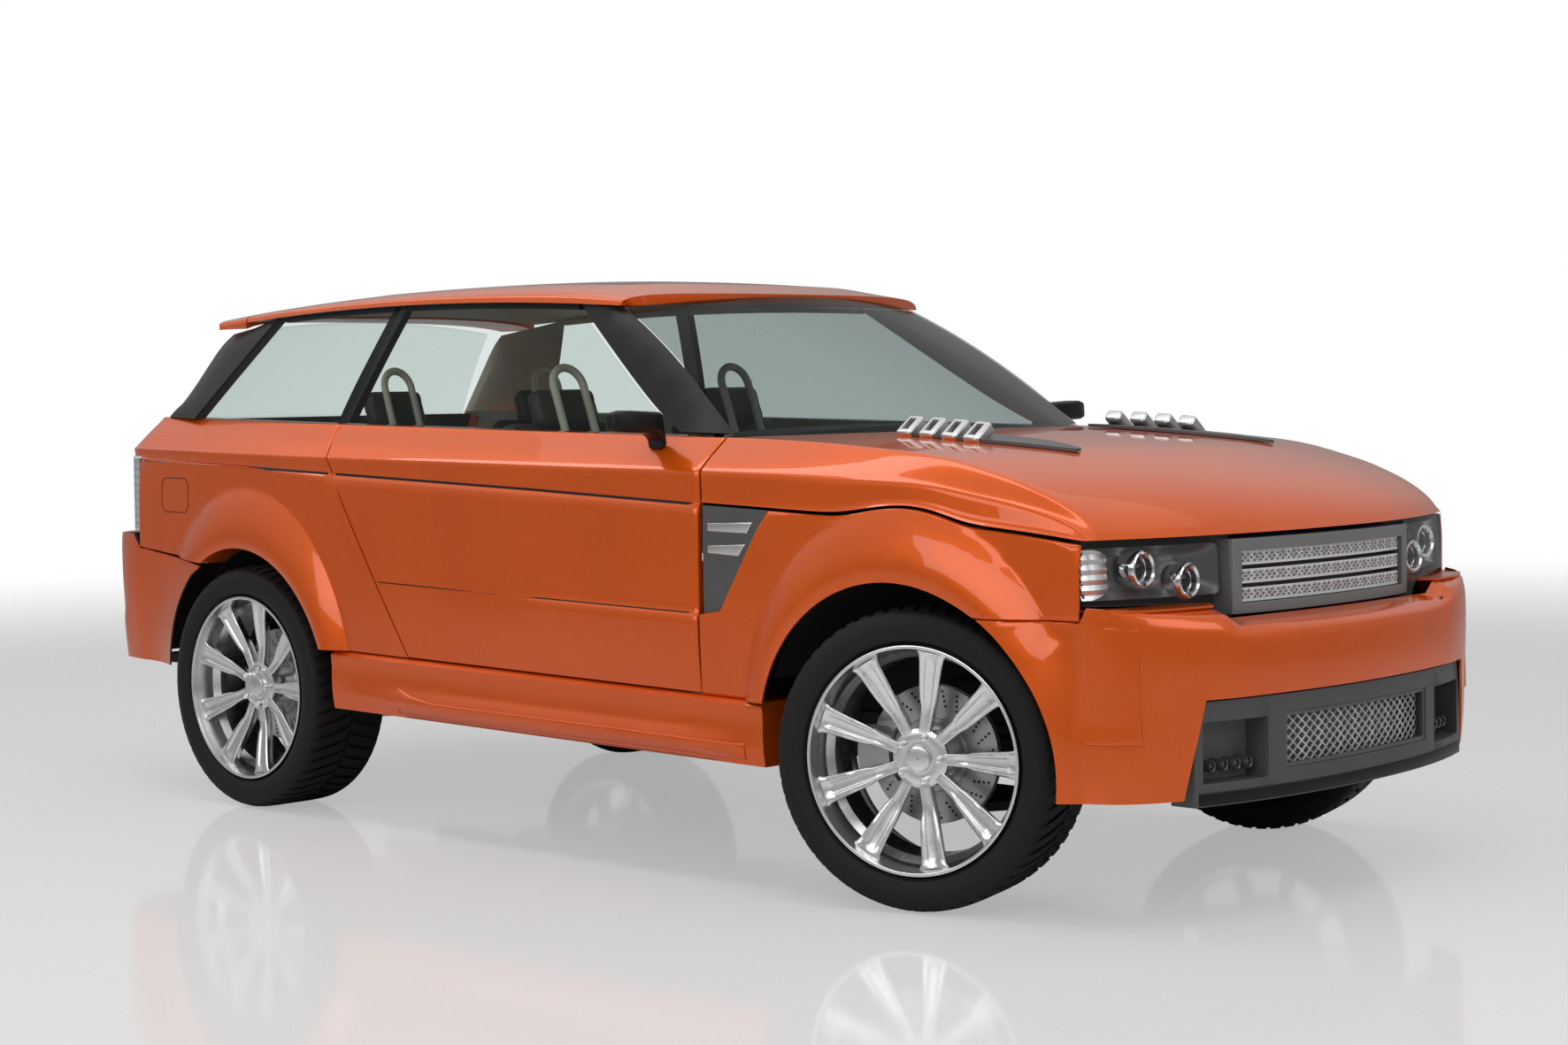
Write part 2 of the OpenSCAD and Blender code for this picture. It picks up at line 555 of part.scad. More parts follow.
module quarter() {
  xs = [for (i = [4:17]) quarter_edges(slant_gap, 0)[i][0]];
  xi = [for (i = [4:17]) quarter_edges(slant_gap - door_lap, 0)[i][0]];
  fall = [for (i = [0:quarter_n]) i >= 4 && i <= 17 ? 9 : 0];
  corner = [tail_end, 0.34, 0.22, 0.1, 0];
  shell([
    [fan(quarter_lips(panel_gap), quarter_edges(slant_gap, panel_gap), ra_x, fall, 0),
      fan(quarter_lips(seat_gap), quarter_edges(slant_gap - door_lap, seat_gap), ra_x, fall, wall_t),
      [1, 1, 1, [[0, 4], [17, quarter_n]]]],
    [strip(xs, 0), strip(xi, wall_t), [0, 1, 0, 1]],
    [corner_strip(corner, 0), corner_strip(corner, wall_t), [1, 0, 1, 1]]]);
}
function corner_strip(ss, t) =
  [for (s = ss) [for (k = [0:len(strip_rows) - 1])
    let (r = strip_rows[k], z = strip_z(tail_x, r[0]))
    s == 0 ? strip([tail_x], t)[0][k] : rear_pt(s, z, r[1] + (t > 0 ? mix(t, 16, s / tail_end) : 0))]];

module rear_quarters() color("orange") both() quarter();

// Sill below the door, from arch to arch
sill_rows = [[1, 4], [0.93, -16], [0.72, -12], [0.5, -14], [0.34, -30], [0.24, -32], [0, -4]];
module sill() {
  a0 = ra_x + arch_r + 6;
  a1 = fa_x - arch_r - 6;
  g = [for (u = span(0, 1, 14)) [for (k = [6:-1:0])
    let (x = mix(a0, a1, u), v = sill_rows[k][0], z = mix(sill_low_z(x), sill_z(x), v))
    let (blade = v > 0.1 && v < 0.4 ? ease(u / 0.25) * ease((1 - u) / 0.12) : 1)
    [x, plan_y(x) - 9 - mix(-12, sill_rows[k][1], blade), z]]];
  h = [for (r = g) [for (p = r) [p[0], tub_y, p[2]]]];
  shell([[g, h, [1, 1, 1, 1]]]);
}

module sills() color("orange") both() sill();

// Front face of the nose at a half width, and plan of the front bumper from arch (0) to centre (1)
function nose_face(y) = nose_x - 178 * pow(abs(y) / 862, 2.3);
function arch_front_x(z) =
  let (a = asin((z - tyre_r) / (arch_r + 20))) fa_x + sqrt(max(0, pow(lip_r(a), 2) - pow(z - tyre_r, 2)));
side_part = 0.3;
function front_pt(u, z, x_mid) =
  let (m = u > 1 ? 2 - u : u, xs = lamp_x, ys = side_y(xs, z))
  let (x = mix(arch_front_x(z), xs, m / side_part), t = (m - side_part) / (1 - side_part))
  let (p = m <= side_part ? [x, side_y(x, z)]
    : bezier([xs, ys], [xs + 130, ys - 26], [x_mid - 12, 620], [x_mid, 0], t))
  [p[0], u > 1 ? -p[1] : p[1], z];
function inside_h(g, t) = [for (i = [0:len(g) - 1]) [for (j = [0:len(g[0]) - 1])
  let (d = g[min(len(g) - 1, i + 1)][j] - g[max(0, i - 1)][j], n = cross(d, [0, 0, 1]))
  g[i][j] + t * n / norm(n)]];
function halves(u) = concat(u, [for (i = [len(u) - 2:-1:0]) 2 - u[i]]);

// Front bumper: a band across the front and two cheeks down to the lower edge
bumper_u = [0, 0.1, 0.2, 0.3, 0.33, 0.42, 0.52, 0.6, 0.68, 0.74, 0.77, 0.88, 1];
bumper_rows = [[0, -8], [0.17, -2], [0.45, 0], [0.72, -4], [0.84, -12], [0.93, -34], [1, -94]];
insert_top = 556;
insert_col = 8;
bumper_low = 314;
function bumper_top(u) =
  let (m = u > 1 ? 2 - u : u)
  m <= 0.31 ? bumper_split_h : m <= 0.75 ? 788 - 14 * (m - 0.33) / 0.42 : 744;
function band(low) =
  [for (u = halves(bumper_u)) [for (r = bumper_rows)
    front_pt(u, mix(insert_top, bumper_top(u) - low, r[0]), front_x + r[1])]];
function cheek(low) =
  [for (i = [0:insert_col]) [for (v = span(0, 1, 5))
    front_pt(bumper_u[i] * mix(0.93, 1, v), mix(bumper_low, insert_top, v), front_x - 8 - 26 * pow(1 - v, 2))]];
function turned(g) = [for (i = [len(g) - 1:-1:0]) [for (p = g[i]) [p[0], -p[1], p[2]]]];

module front_bumper() {
  n = len(bumper_u) - 1;
  g = band(panel_gap / 2);
  h = inside_h(band(seat_gap), skin_t);
  c = cheek(0);
  ci = inside_h(c, skin_t);
  fix = [for (i = [0:insert_col]) [for (k = [0:5]) k == 5 ? h[i][0] : ci[i][k]]];
  color("orange") shell([[g, h, [1, 1, [[insert_col, 2 * n - insert_col]], 1]],
    [c, fix, [1, 1, 1, 0]], [turned(c), turned(fix), [1, 1, 1, 0]]]);
}

// Flat-sided bands that follow the front in plan, between two heights
function front_arc(x_mid, y0, y1, n) =
  [for (y = span(y0, y1, n)) [x_mid - 178 * pow(abs(y) / 862, 2.3), y]];
module front_band(x_mid, depth, w, z0, z1) {
  a = front_arc(x_mid, -w, w, 16);
  b = front_arc(x_mid - depth, w, -w, 16);
  translate([0, 0, z0]) linear_extrude(z1 - z0) polygon(concat(a, b));
}

insert_x = front_x - 20;
module bumper_insert() {
  color([0.2, 0.2, 0.22]) {
    difference() {
      front_band(insert_x, 70, 636, bumper_low - 20, insert_top - panel_gap);
      box([insert_x - 300, -340, 366], [insert_x + 50, 340, 506]);
      both() box([insert_x - 300, 400, 350], [insert_x + 50, 610, 500]);
    }
    difference() {
      front_band(insert_x - 69, 20, 632, 340, 530);
      translate([0, 0, 0]) both() box([insert_x - 300, 420, 380], [insert_x - 100, 440, 400]);
    }
    box([slam_x + 20, -200, 400], [insert_x - 80, 200, 440]);
  }
}

grille_low = 748;
grille_high = 926;
grille_w = 418;
module grille() {
  color("gray") {
    difference() {
      front_band(nose_x - 2, 60, grille_w, grille_low, grille_high);
      box([nose_x - 200, 34 - grille_w, grille_low + 26], [nose_x + 50, grille_w - 34, grille_high - 22]);
    }
    for (z = [grille_low + 30, grille_low + 76, grille_low + 122]) front_band(nose_x - 16, 24, grille_w - 33, z, z + 32);
    front_band(nose_x - 61, 10, grille_w - 10, grille_low, grille_high - 10);
    both() box([slam_x + 20, 300, grille_low + 20], [nose_x - 87, 340, grille_low + 60]);
  }
}

// Headlamps between wing and grille
module headlamp() {
  y0 = grille_w + seat_gap;
  g = [for (u = span(0, 1, 10)) [for (v = span(0, 1, 5))
    let (y = mix(845, y0, u), x = nose_face(y) - 4 - 10 * v, low = u > 0.86 ? 748 : 790 - 12 * u)
    let (xx = max(lamp_x + panel_gap, x))
    [xx, y, mix(low, clam_z(lamp_x) - shut_gap - 1, v)]]];
  h = [for (r = g) [for (p = r) [p[0] - 70, p[1] - 40 * ease((p[1] - 640) / 200), p[2]]]];
  shell([[g, h, [1, 1, 1, 1]]]);
}
module headlamps() color("white") both() headlamp();

// Rear bumper from arch to arch
rear_bumper_low = 430;
rear_u = [0, 0.15, 0.3, 0.33, 0.45, 0.55, 0.66, 0.78, 0.9, 1];
rear_rows = [[0, -150], [0.2, -92], [0.42, -34], [0.62, -6], [0.8, 0], [0.93, -6], [1, -34]];
function rear_arch_x(z) = ra_x - sqrt(max(0, pow(arch_r, 2) - pow(z - tyre_r, 2)));
function rear_bumper_pt(u, z, out) =
  let (m = u > 1 ? 2 - u : u, ys = side_y(tail_x, z), x_mid = -front_x - out)
  let (x = mix(rear_arch_x(z), tail_x, m / side_part), t = (m - side_part) / (1 - side_part))
  let (p = m <= side_part ? [x, side_y(x, z)]
    : bezier([tail_x, ys], [tail_x - 300, ys + 6], [x_mid + 10, 640], [x_mid, 0], t))
  [p[0], u > 1 ? -p[1] : p[1], z];
function rear_top(u, low) =
  let (m = u > 1 ? 2 - u : u, x = mix(ra_x - 210, tail_x, m / side_part)) m < 0.31 ? rear_split_z(x) - low : 856 - low;
function rear_grid(low) =
  [for (u = [for (k = [2 * 9:-1:0]) halves(rear_u)[k]]) [for (r = rear_rows)
    let (z = mix(rear_bumper_low, rear_top(u, low), r[0])) rear_bumper_pt(u, z, r[1])]];
// Ledge from the bumper's top edge in under the tailgate
function rear_ledge(g, low) =
  let (us = [for (k = [2 * 9:-1:0]) halves(rear_u)[k]], n = len(rear_rows) - 1)
  [for (i = [0:len(us) - 1])
    let (u = us[i], m = u > 1 ? 2 - u : u, p = g[i][n], t = (m - side_part) / (1 - side_part))
    m < 0.45 ? p - [0, sign(p[1]) * 12, low] : rear_pt(u > 1 ? 2 - t : t, p[2] - low, 10)];
module rear_bumper() {
  g = rear_grid(panel_gap / 2);
  w = inside_h(g, skin_t);
  n = len(rear_rows) - 1;
  out = rear_ledge(g, 0);
  in = rear_ledge(g, skin_t);
  outer = [for (i = [0:len(g) - 1]) concat(g[i], [out[i]])];
  inner = [for (i = [0:len(g) - 1]) [for (k = [0:n + 1]) k < n ? w[i][k] : k == n ? w[i][k] - [0, 0, skin_t] : in[i]]];
  color("orange") shell([[outer, inner, [1, 1, 1, 1]]]);
}

module tail_lamp() {
  ss = [tail_end - 0.01, 0.36, 0.27, 0.18, 0.09, 0.012];
  g = lamp_grid(ss, 6, 6);
  shell([[g, lamp_grid(ss, 60, 16), [1, 1, 1, 1]]]);
}
function lamp_grid(ss, t0, t1) =
  [for (s = ss) [for (v = span(0, 1, 3))
    let (p = rear_pt(s, mix(862, quarter_z(tail_x) - 0.8, v), mix(t0, t1, s / tail_end)))
    [min(tail_x - 0.6, p[0]), p[1], p[2]]]];
module tail_lamps() color("white") both() tail_lamp();

// Bonnet: one shell from clam line to clam line
bonnet_crown = 14;
function screen_base(s) = [1060 - 248 * s * s, 765 * s, 1178 + 12 * s * s];
function bonnet_rear_x(y) = min(1082, max(door_x + shut_gap / 2 + 2, 1082 - 248 * pow(y / 765, 2)));
// Sections run from the clam line up the shoulder strip (0 to 6) and on to the centre line
top_share = [0.93, 0.82, 0.68, 0.5, 0.3, 0.1];
bonnet_rows = len(strip_rows) + len(top_share);
function bonnet_fall(f) = pow(max(0, 1 - pow(f, 2.5)), 0.625);
function bonnet_pt(f, k) =
  let (side = k < 7, in0 = side ? strip_rows[k][1] : 112, in1 = 9 + 9 * min(6, k), share = side ? 1 : top_share[k - 7])
  let (x0 = bonnet_rear_x((body_w / 2 - in0) * share), x1 = nose_face((plan_y(lamp_x) - 5 - in1) * share) - 6)
  let (x = mix(x0, x1, f), xe = mix(bonnet_rear_x(body_w), lamp_x, f), ze = clam_z(xe) + shut_gap / 2)
  let (y = (plan_y(xe) - 5 - mix(in0, in1, ease(f))) * share)
  let (z = side ? bonnet_strip_z(x, strip_rows[k][0]) : belt_z(x) + bonnet_crown * (1 - share * share))
  [x, y, k == 0 ? ze : ze + max(0, z - ze) * bonnet_fall(f)];
function bonnet_strip_z(x, v) =
  let (s = shoulder_z(x)) v <= 1 ? mix(min(s - 20, clam_z(x)), s, v) : mix(s, belt_z(x), v - 1);
bonnet_f = [for (t = span(0, 1, 14)) 1 - pow(1 - t, 1.5)];
function bonnet_grid() =
  [for (f = bonnet_f) let (h = [for (k = [0:bonnet_rows - 1]) bonnet_pt(f, k)])
    concat(h, [for (k = [bonnet_rows - 1:-1:0]) [h[k][0], -h[k][1], h[k][2]]])];
// Inner side: sideways along the side edges, backward along the front edge
function bonnet_inner(g) =
  let (h = inside(g, skin_t), n = len(g) - 1, m = len(g[0]) - 1)
  [for (i = [0:n]) [for (j = [0:m])
    let (s = j <= 2 ? -1 : j >= m - 2 ? 1 : 0, p = g[i][j])
    i == n ? p + skin_t * (s == 0 ? [-1, 0, 0] : [-0.7, 0.7 * s, 0]) : s != 0 ? p + [0, skin_t * s, 0]
    : [h[i][j][0], h[i][j][1], max(h[i][j][2], g[i][0][2] + 0.5)]]];
module bonnet() {
  g = bonnet_grid();
  color("orange") shell([[g, bonnet_inner(g), [1, 1, 1, 1]]]);
}

// Teardrop vents lying on the bonnet
module bonnet_vent() {
  g = [for (u = span(0, 1, 8)) [for (w = [1, 0.5, 0, -0.5, -1])
    let (half = 78 * sqrt(max(0.02, 1 - pow(2 * pow(u, 0.7) - 1, 2))), y = 430 + w * half + 20 * u, x = 1110 + 620 * u)
    [x, y, bonnet_z(x, y)]]];
  shell([[moved(g, [0, 0, 10]), moved(g, [0, 0, 1.4]), [1, 1, 1, 1]]]);
}
function bonnet_z(x, y) =
  let (f = (x - bonnet_rear_x(y)) / (nose_face(y) - 6 - bonnet_rear_x(y)), share = abs(y) / (body_w / 2 - 112))
  let (xe = mix(bonnet_rear_x(body_w), lamp_x, f), ze = clam_z(xe) + shut_gap / 2)
  ze + (belt_z(x) + bonnet_crown * (1 - share * share) - ze) * bonnet_fall(f);
module bonnet_vents() color([0.15, 0.15, 0.16]) both() bonnet_vent();

// Windscreen between its base line and the roof's front edge
function screen_head(s) = [380 - 138 * s * s, 635 * s, edge_z(242) + 33 * (1 - s * s)];
function screen_pt(s, t, e) =
  let (p = mix(screen_base(s), screen_head(s), t), d = screen_head(s) - screen_base(s))
  p + [12, 0, 20] * 4 * t * (1 - t) + d / norm(d) * e;
module windscreen() {
  g = [for (s = span(1, -1, 10)) [for (t = span(0, 1, 6)) screen_pt(s, t, t == 0 ? -0.3 : t == 1 ? -9 : 0)]];
  color([0.2, 0.25, 0.3, 0.5]) shell([[g, inside(g, glass_t), [1, 1, 1, 1]]]);
}

module cowl() {
  g = [for (s = span(1, -1, 10))
    let (b = screen_base(s), e = screen_head(s) - b, d = e / norm(e), n = [-d[2], 0, d[0]])
    let (p = b + n * 3 - d * seat_gap + [4, 0, -3], x = bulkhead_x - 14)
    [[x, p[1] * 0.93, 1090 + seat_gap], mix([x, p[1] * 0.93, 1090], p + [18, 0, -24], 0.6), p + [9, 0, -14], p]];
  color([0.08, 0.08, 0.08]) shell([[g, moved(g, [-4, 0, 3]), [1, 1, 1, 1]]]);
}

// Roof with an opening for the glass panel
roof_split = -1590;
function roof_w(x) = 658 - 30 * pow(max(0, -900 - x) / 1000, 2);
function crown_z(x) = roof_h - 46 * pow((x + 450) / 1140, 2) - 36 * ease((x - 60) / 320);
function roof_pt(x, v) =
  let (a = 90 * abs(v), e = edge_z(x), k = 2 / 2.6)
  [x, (v < 0 ? -1 : 1) * roof_w(x) * pow(sin(a), k), e + (crown_z(x) - e) * pow(max(0, cos(a)), k)];
roof_v = [1, 0.9, 0.78, 0.64, 0.5, 0.36, 0.2, 0.06, -0.06, -0.2, -0.36, -0.5, -0.64, -0.78, -0.9, -1];
roof_f = [0, 0.1, 0.2, 0.32, 0.44, 0.56, 0.68, 0.8, 0.9, 1];
function roof_front(v) = let (s = pow(sin(90 * abs(v)), 0.77)) 380 - 138 * s * s + 1.2;
function roof_grid() = [for (f = roof_f) [for (v = roof_v) roof_pt(mix(roof_split, roof_front(v), f), v)]];
function cut(g, i0, i1, j0, j1) = [for (i = [i0:i1]) [for (j = [j0:j1]) g[i][j]]];
// Inner side of the roof, with flat lower edges along both sides
function roof_inner(g) =
  let (h = inside(g, roof_t), m = len(g[0]) - 1)
  [for (i = [0:len(g) - 1]) [for (j = [0:m])
    j == 0 ? g[i][j] - [0, roof_t, 0] : j == m ? g[i][j] + [0, roof_t, 0]
    : [h[i][j][0], h[i][j][1], max(h[i][j][2], edge_z(g[i][j][0]))]]];
module roof() {
  g = roof_grid();
  h = roof_inner(g);
  color("orange") shell([
    [cut(g, 0, 3, 0, 15), cut(h, 0, 3, 0, 15), [1, [[4, 11]], 1, 1]],
    [cut(g, 8, 9, 0, 15), cut(h, 8, 9, 0, 15), [[[4, 11]], 1, 1, 1]],
    [cut(g, 3, 8, 0, 4), cut(h, 3, 8, 0, 4), [0, 0, 1, 1]],
    [cut(g, 3, 8, 11, 15), cut(h, 3, 8, 11, 15), [0, 0, 1, 1]]]);
}
function shrunk(g, k) =
  let (c = (g[0][0] + g[len(g) - 1][len(g[0]) - 1]) / 2)
  [for (r = g) [for (p = r) [mix(p[0], c[0], k), mix(p[1], c[1], k), p[2]]]];
module roof_glass() {
  g = roof_grid();
  h = inside(g, 2 * glass_t);
  color([0.05, 0.05, 0.06]) shell([[shrunk(cut(g, 3, 8, 4, 11), 0.0015), shrunk(cut(h, 3, 8, 4, 11), 0.0015), [1, 1, 1, 1]]]);
}

// Pillars: rings from base to roof edge
function door_glass_front(t) = let (x = mix(632, 57, t)) [x, mix(belt_z(x), edge_z(x), t)];
function a_ring(t) =
  let (p = door_glass_front(t), w = screen_pt(1, t, 0), gy = glass_y(p[0], p[1]))
  let (low = t == 0 ? 12 : t == 1 ? -1.5 : 0)
  [[p[0] + 4, gy, p[1] + low], [p[0] - 24, gy - 32, p[1] + low], [w[0] - 60, w[1] - 10, w[2] - 26 * t + low - 14],
    [w[0] - 8, w[1] + 1.5, w[2] + low - 2], [mix(p[0], w[0], 0.6), mix(gy, w[1], 0.4) + 10, mix(p[1], w[2], 0.6) + low]];
module a_pillar() {
  z = 1060 + seat_gap;
  loft([[[post_x + 2, tub_y - 26, z], [post_x + 2, tub_y - 56, z], [post_x + 42, tub_y - 56, z],
    [post_x + 42, tub_y - 26, z], [post_x + 22, tub_y - 26, z]],
    [[704, tub_y - 30, 1196], [710, tub_y - 56, 1196], [740, tub_y - 56, 1190], [758, tub_y - 40, 1196], [730, tub_y - 30, 1196]],
    for (t = span(0, 1, 5)) a_ring(t)]);
}
function b_ring(t) =
  let (x = mix(-882, -784, t), z = mix(belt_z(x) + 1, edge_z(x) - 0.8, t), y = glass_y(x, z) - glass_t - 10)
  let (up = t == 0 ? shut_gap : 0)
  [[x + 30, y, z + up], [x - 30, y, z], [x - 30, y - 30, z], [x + 30, y - 30, z + up]];
module b_pillar() loft([for (t = span(0, 1, 4)) b_ring(t)]);
function quarter_glass_rear(t) = let (x = mix(-1683, -1422, t)) [x, mix(belt_z(x), edge_z(x), t)];
function d_ring(t) =
  let (p = quarter_glass_rear(t), gy = glass_y(p[0], p[1]), b = rear_pt(tail_end, belt_z(tail_x), 118))
  let (r = mix(b, [-1730, 596, edge_z(-1730)], t), zp = t == 0 ? 0.8 : t == 1 ? -0.8 : 0, zr = t == 0 ? 0.8 : t == 1 ? -26 : 0)
  let (c = [mix(p[0], r[0], 0.62), mix(gy, r[1], 0.38) + mix(18, 8, t), t == 0 ? b[2] : mix(p[1], r[2], 0.62)])
  [[p[0] - 3, gy, p[1] + zp], c + [0, 0, zr], [r[0], r[1], r[2] + zr], [r[0] + 50, r[1] - 2, r[2] + zr],
    [p[0] + 16, gy - 30, p[1] + zp]];
module d_pillar() loft([for (t = span(0, 1, 5)) d_ring(t)]);
// Seal rails under the roof edge, inboard of the side glass
module seal_rail(x0, x1) {
  loft([for (x = span(x0, x1, 6))
    let (z = edge_z(x) - 0.8, y = glass_y(x, z) - glass_t - 8)
    [[x, y, z], [x, y - 24, z], [x, y - 24, z - 18], [x, y, z - 18]]]);
}
module pillars() {
  color([0.05, 0.05, 0.05]) both() {
    seal_rail(-752, 40);
    seal_rail(-1396, -816);
    a_pillar();
    b_pillar();
    d_pillar();
  }
}

// Side glass on the belt line
function side_glass(r0, r1, f0, f1, top) =
  [for (u = span(0, 1, 8)) [for (t = span(0, 1, 5))
    let (x = mix(mix(r0, r1, t), mix(f0, f1, t), u), z = mix(belt_z(x) + seat_gap, edge_z(x) - top, t))
    [x, glass_y(x, z), z]]];
module quarter_glasses() {
  g = side_glass(-1680, -1420, -893, -795, 1.5);
  color([0.1, 0.12, 0.14]) both() shell([[g, moved(g, [0, -glass_t, 0]), [1, 1, 1, 1]]]);
}
module door_glass() {
  g = side_glass(-858, -764, 622, 50, 7);
  shell([[g, moved(g, [0, -glass_t, 0]), [1, 1, 1, 1]]]);
}
module door_glass_l() color([0.1, 0.12, 0.14]) door_glass();
module door_glass_r() color([0.1, 0.12, 0.14]) mirror([0, 1, 0]) door_glass();

// Door: outer skin rows from sill to belt, thin at the hinge edge
function door_row(x, k) =
  let (s = sill_z(x) + shut_gap, c = crease_z(x), g = quarter_z(x), step = 8 * ease((x + 560) / 900))
  k == 0 ? [s, 0] : k == 1 ? [mix(s, c, 0.5), -step] : k == 2 ? [c - 9, -step] : k == 3 ? [c + 2, 0]
  : k == 4 ? [mix(c, g, 0.33), 0] : k == 5 ? [mix(c, g, 0.66), 0] : k == 6 ? [g - 15, 0] : k == 7 ? [g - 1, 9]
  : let (r = strip_rows[k - 7]) [strip_z(x, r[0]), r[1]];
function door_t(u) = mix(22, wall_t, ease((0.93 - u) / 0.045));
door_u = [0, 0.1, 0.22, 0.34, 0.46, 0.58, 0.7, 0.82, 0.885, 0.93, 0.965, 0.995, 1];
function door_grid(inner) =
  [for (u = door_u) [for (k = [0:13])
    let (x0 = door_rear_x(0, door_row(-600, k)[0]), xr = door_rear_x(0, door_row(x0, k)[0]) + (inner ? door_lap : 0))
    let (x = mix(xr, door_x - shut_gap / 2, u), r = door_row(x, k))
    [x, (k < 8 ? side_y(x, r[0]) : plan_y(x)) - r[1] - (inner ? door_t(u) : u == 1 ? 5 : 0), r[0]]]];
module door() {
  shell([[door_grid(false), door_grid(true), [1, 1, 1, 1]]]);
  for (z = [600, 950]) door_hinge_leaf(z);
}
module door_l() color("orange") door();
module door_r() color("orange") mirror([0, 1, 0]) door();

// Height of the door's upper slope below a point
function slope_z(x, y) = strip_z(x, 1.4 + 0.46 * (plan_y(x) - y - 50) / 50) + 0.6;
function foot(x, y) = [x, y, slope_z(x, y)];
module door_mirror() {
  loft([[foot(560, 842), foot(620, 842), foot(620, 862), foot(560, 862)],
    [[560, 846, 1196], [620, 846, 1196], [620, 868, 1186], [560, 868, 1186]],
    [[565, 880, 1262], [640, 880, 1262], [640, 896, 1204], [565, 896, 1204]],
    [[575, 1000, 1268], [645, 1000, 1268], [645, 1006, 1208], [575, 1006, 1208]],
    [[590, 1048, 1262], [625, 1048, 1262], [625, 1052, 1214], [590, 1052, 1214]]]);
}
module mirror_l() color([0.05, 0.05, 0.05]) door_mirror();
module mirror_r() color([0.05, 0.05, 0.05]) mirror([0, 1, 0]) door_mirror();

// Tailgate between the tail lamps, its glass, and the spoiler above it
gate_t = 60;
gate_s = halves([tail_end + 0.02, 0.56, 0.68, 0.84, 1]);
gate_rows = [[862, 0], [960, -4], [1060, 0], [1128, 10], [1180, 46], [1238, 108]];
module tailgate() {
  g = [for (s = [for (k = [8:-1:0]) gate_s[k]]) [for (r = gate_rows) rear_pt(s, r[0], r[1])]];
  color("orange") shell([[g, moved(g, [gate_t, 0, 0]), [1, 1, 1, 1]]]);
}
module tailgate_glass() {
  g = [for (s = [for (k = [8:-1:0]) gate_s[k]]) [for (t = span(0, 1, 5))
    let (b = rear_pt(s, 1238 + seat_gap, 110), y = b[1] * 0.84)
    mix(b, [-1775 + 40 * pow(y / 600, 2), y, edge_z(-1730) - 30 + 52 * (1 - pow(y / 600, 2))], t)
      - [10, 0, 0] * 4 * t * (1 - t)]];
  color([0.1, 0.12, 0.14]) shell([[g, moved(g, [glass_t, 0, 0]), [1, 1, 1, 1]]]);
}
module spoiler() {
  g = [for (f = [1, 0.75, 0.5, 0.25, 0]) [for (v = roof_v)
    let (p = roof_pt(mix(roof_split - 8, -1840 + 90 * pow(abs(v), 2), f), v)) p]];
  h = [for (i = [0:4]) [for (j = [0:15]) g[i][j] - [0, 0, mix(36, 22, (4 - i) / 4)] * (0.2 + 0.8 * ease((1 - abs(roof_v[j])) / 0.12))]];
  color("orange") shell([[g, h, [1, 1, 1, 1]]]);
}

// Cabin
column_r = 14;
module at_column() translate([470, 370, 960]) rotate([0, -65, 0]) children();
module dashboard() {
  color([0.2, 0.2, 0.2]) difference() {
    translate([0, 680, 0]) rotate([90, 0, 0]) linear_extrude(1360) polygon([[bulkhead_x - floor_t, 560],
      [bulkhead_x - floor_t, 1085], [720, 1085], [590, 1050], [540, 990], [560, 900], [700, 780], [760, 560]]);
    at_column() translate([0, 0, -262]) cylinder(r = column_r + run_gap, h = 262);
  }
  color([0.2, 0.2, 0.2]) box([-500, -110, floor_z + floor_t], [690, 110, 640]);
}
module steering_wheel() {
  color([0.15, 0.15, 0.15]) at_column() {
    rotate_extrude() translate([180, 0]) circle(r = 15);
    translate([0, 0, -240]) cylinder(r = column_r, h = 240);
    cylinder(r = 55, h = 40, center = true);
    for (a = [0, 120, 240]) rotate([0, 0, a + 60]) translate([0, -16, -10]) cube([182, 32, 20]);
  }
}
module seat(x, y, w) {
  translate([x, y + w / 2, 0]) rotate([90, 0, 0]) linear_extrude(w) polygon([[0, floor_z + floor_t], [520, floor_z + floor_t],
    [540, 700], [500, 760], [120, 740], [60, 780], [-90, 1190], [-190, 1240], [-220, 1190], [-90, 760], [-40, 600]]);
}
module front_seats() color([0.3, 0.25, 0.2]) both() seat(-160, 370, 500);
module rear_seats() color([0.3, 0.25, 0.2]) both() seat(-1060, 330, 440);

body_tub();
chassis_frame();
engine_block();
exhaust();
fuel_tank();
driveline();
front_arms();
rear_arms();
knuckle_l();
knuckle_r();
wheel_fl();
wheel_fr();
wheel_rl();
wheel_rr();
tyre_fl();
tyre_fr();
tyre_rl();
tyre_rr();
front_wings();
side_vents();
sills();
rear_quarters();
front_bumper();
bumper_insert();
grille();
headlamps();
rear_bumper();
tail_lamps();
bonnet();
bonnet_vents();
cowl();
windscreen();
roof();
roof_glass();
pillars();
quarter_glasses();
door_l();
door_r();
door_glass_l();
door_glass_r();
mirror_l();
mirror_r();
tailgate();
tailgate_glass();
spoiler();
dashboard();
steering_wheel();
front_seats();
rear_seats();
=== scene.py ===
import bpy
import json
import math
from mathutils import Matrix, Vector
from mathutils.bvhtree import BVHTree

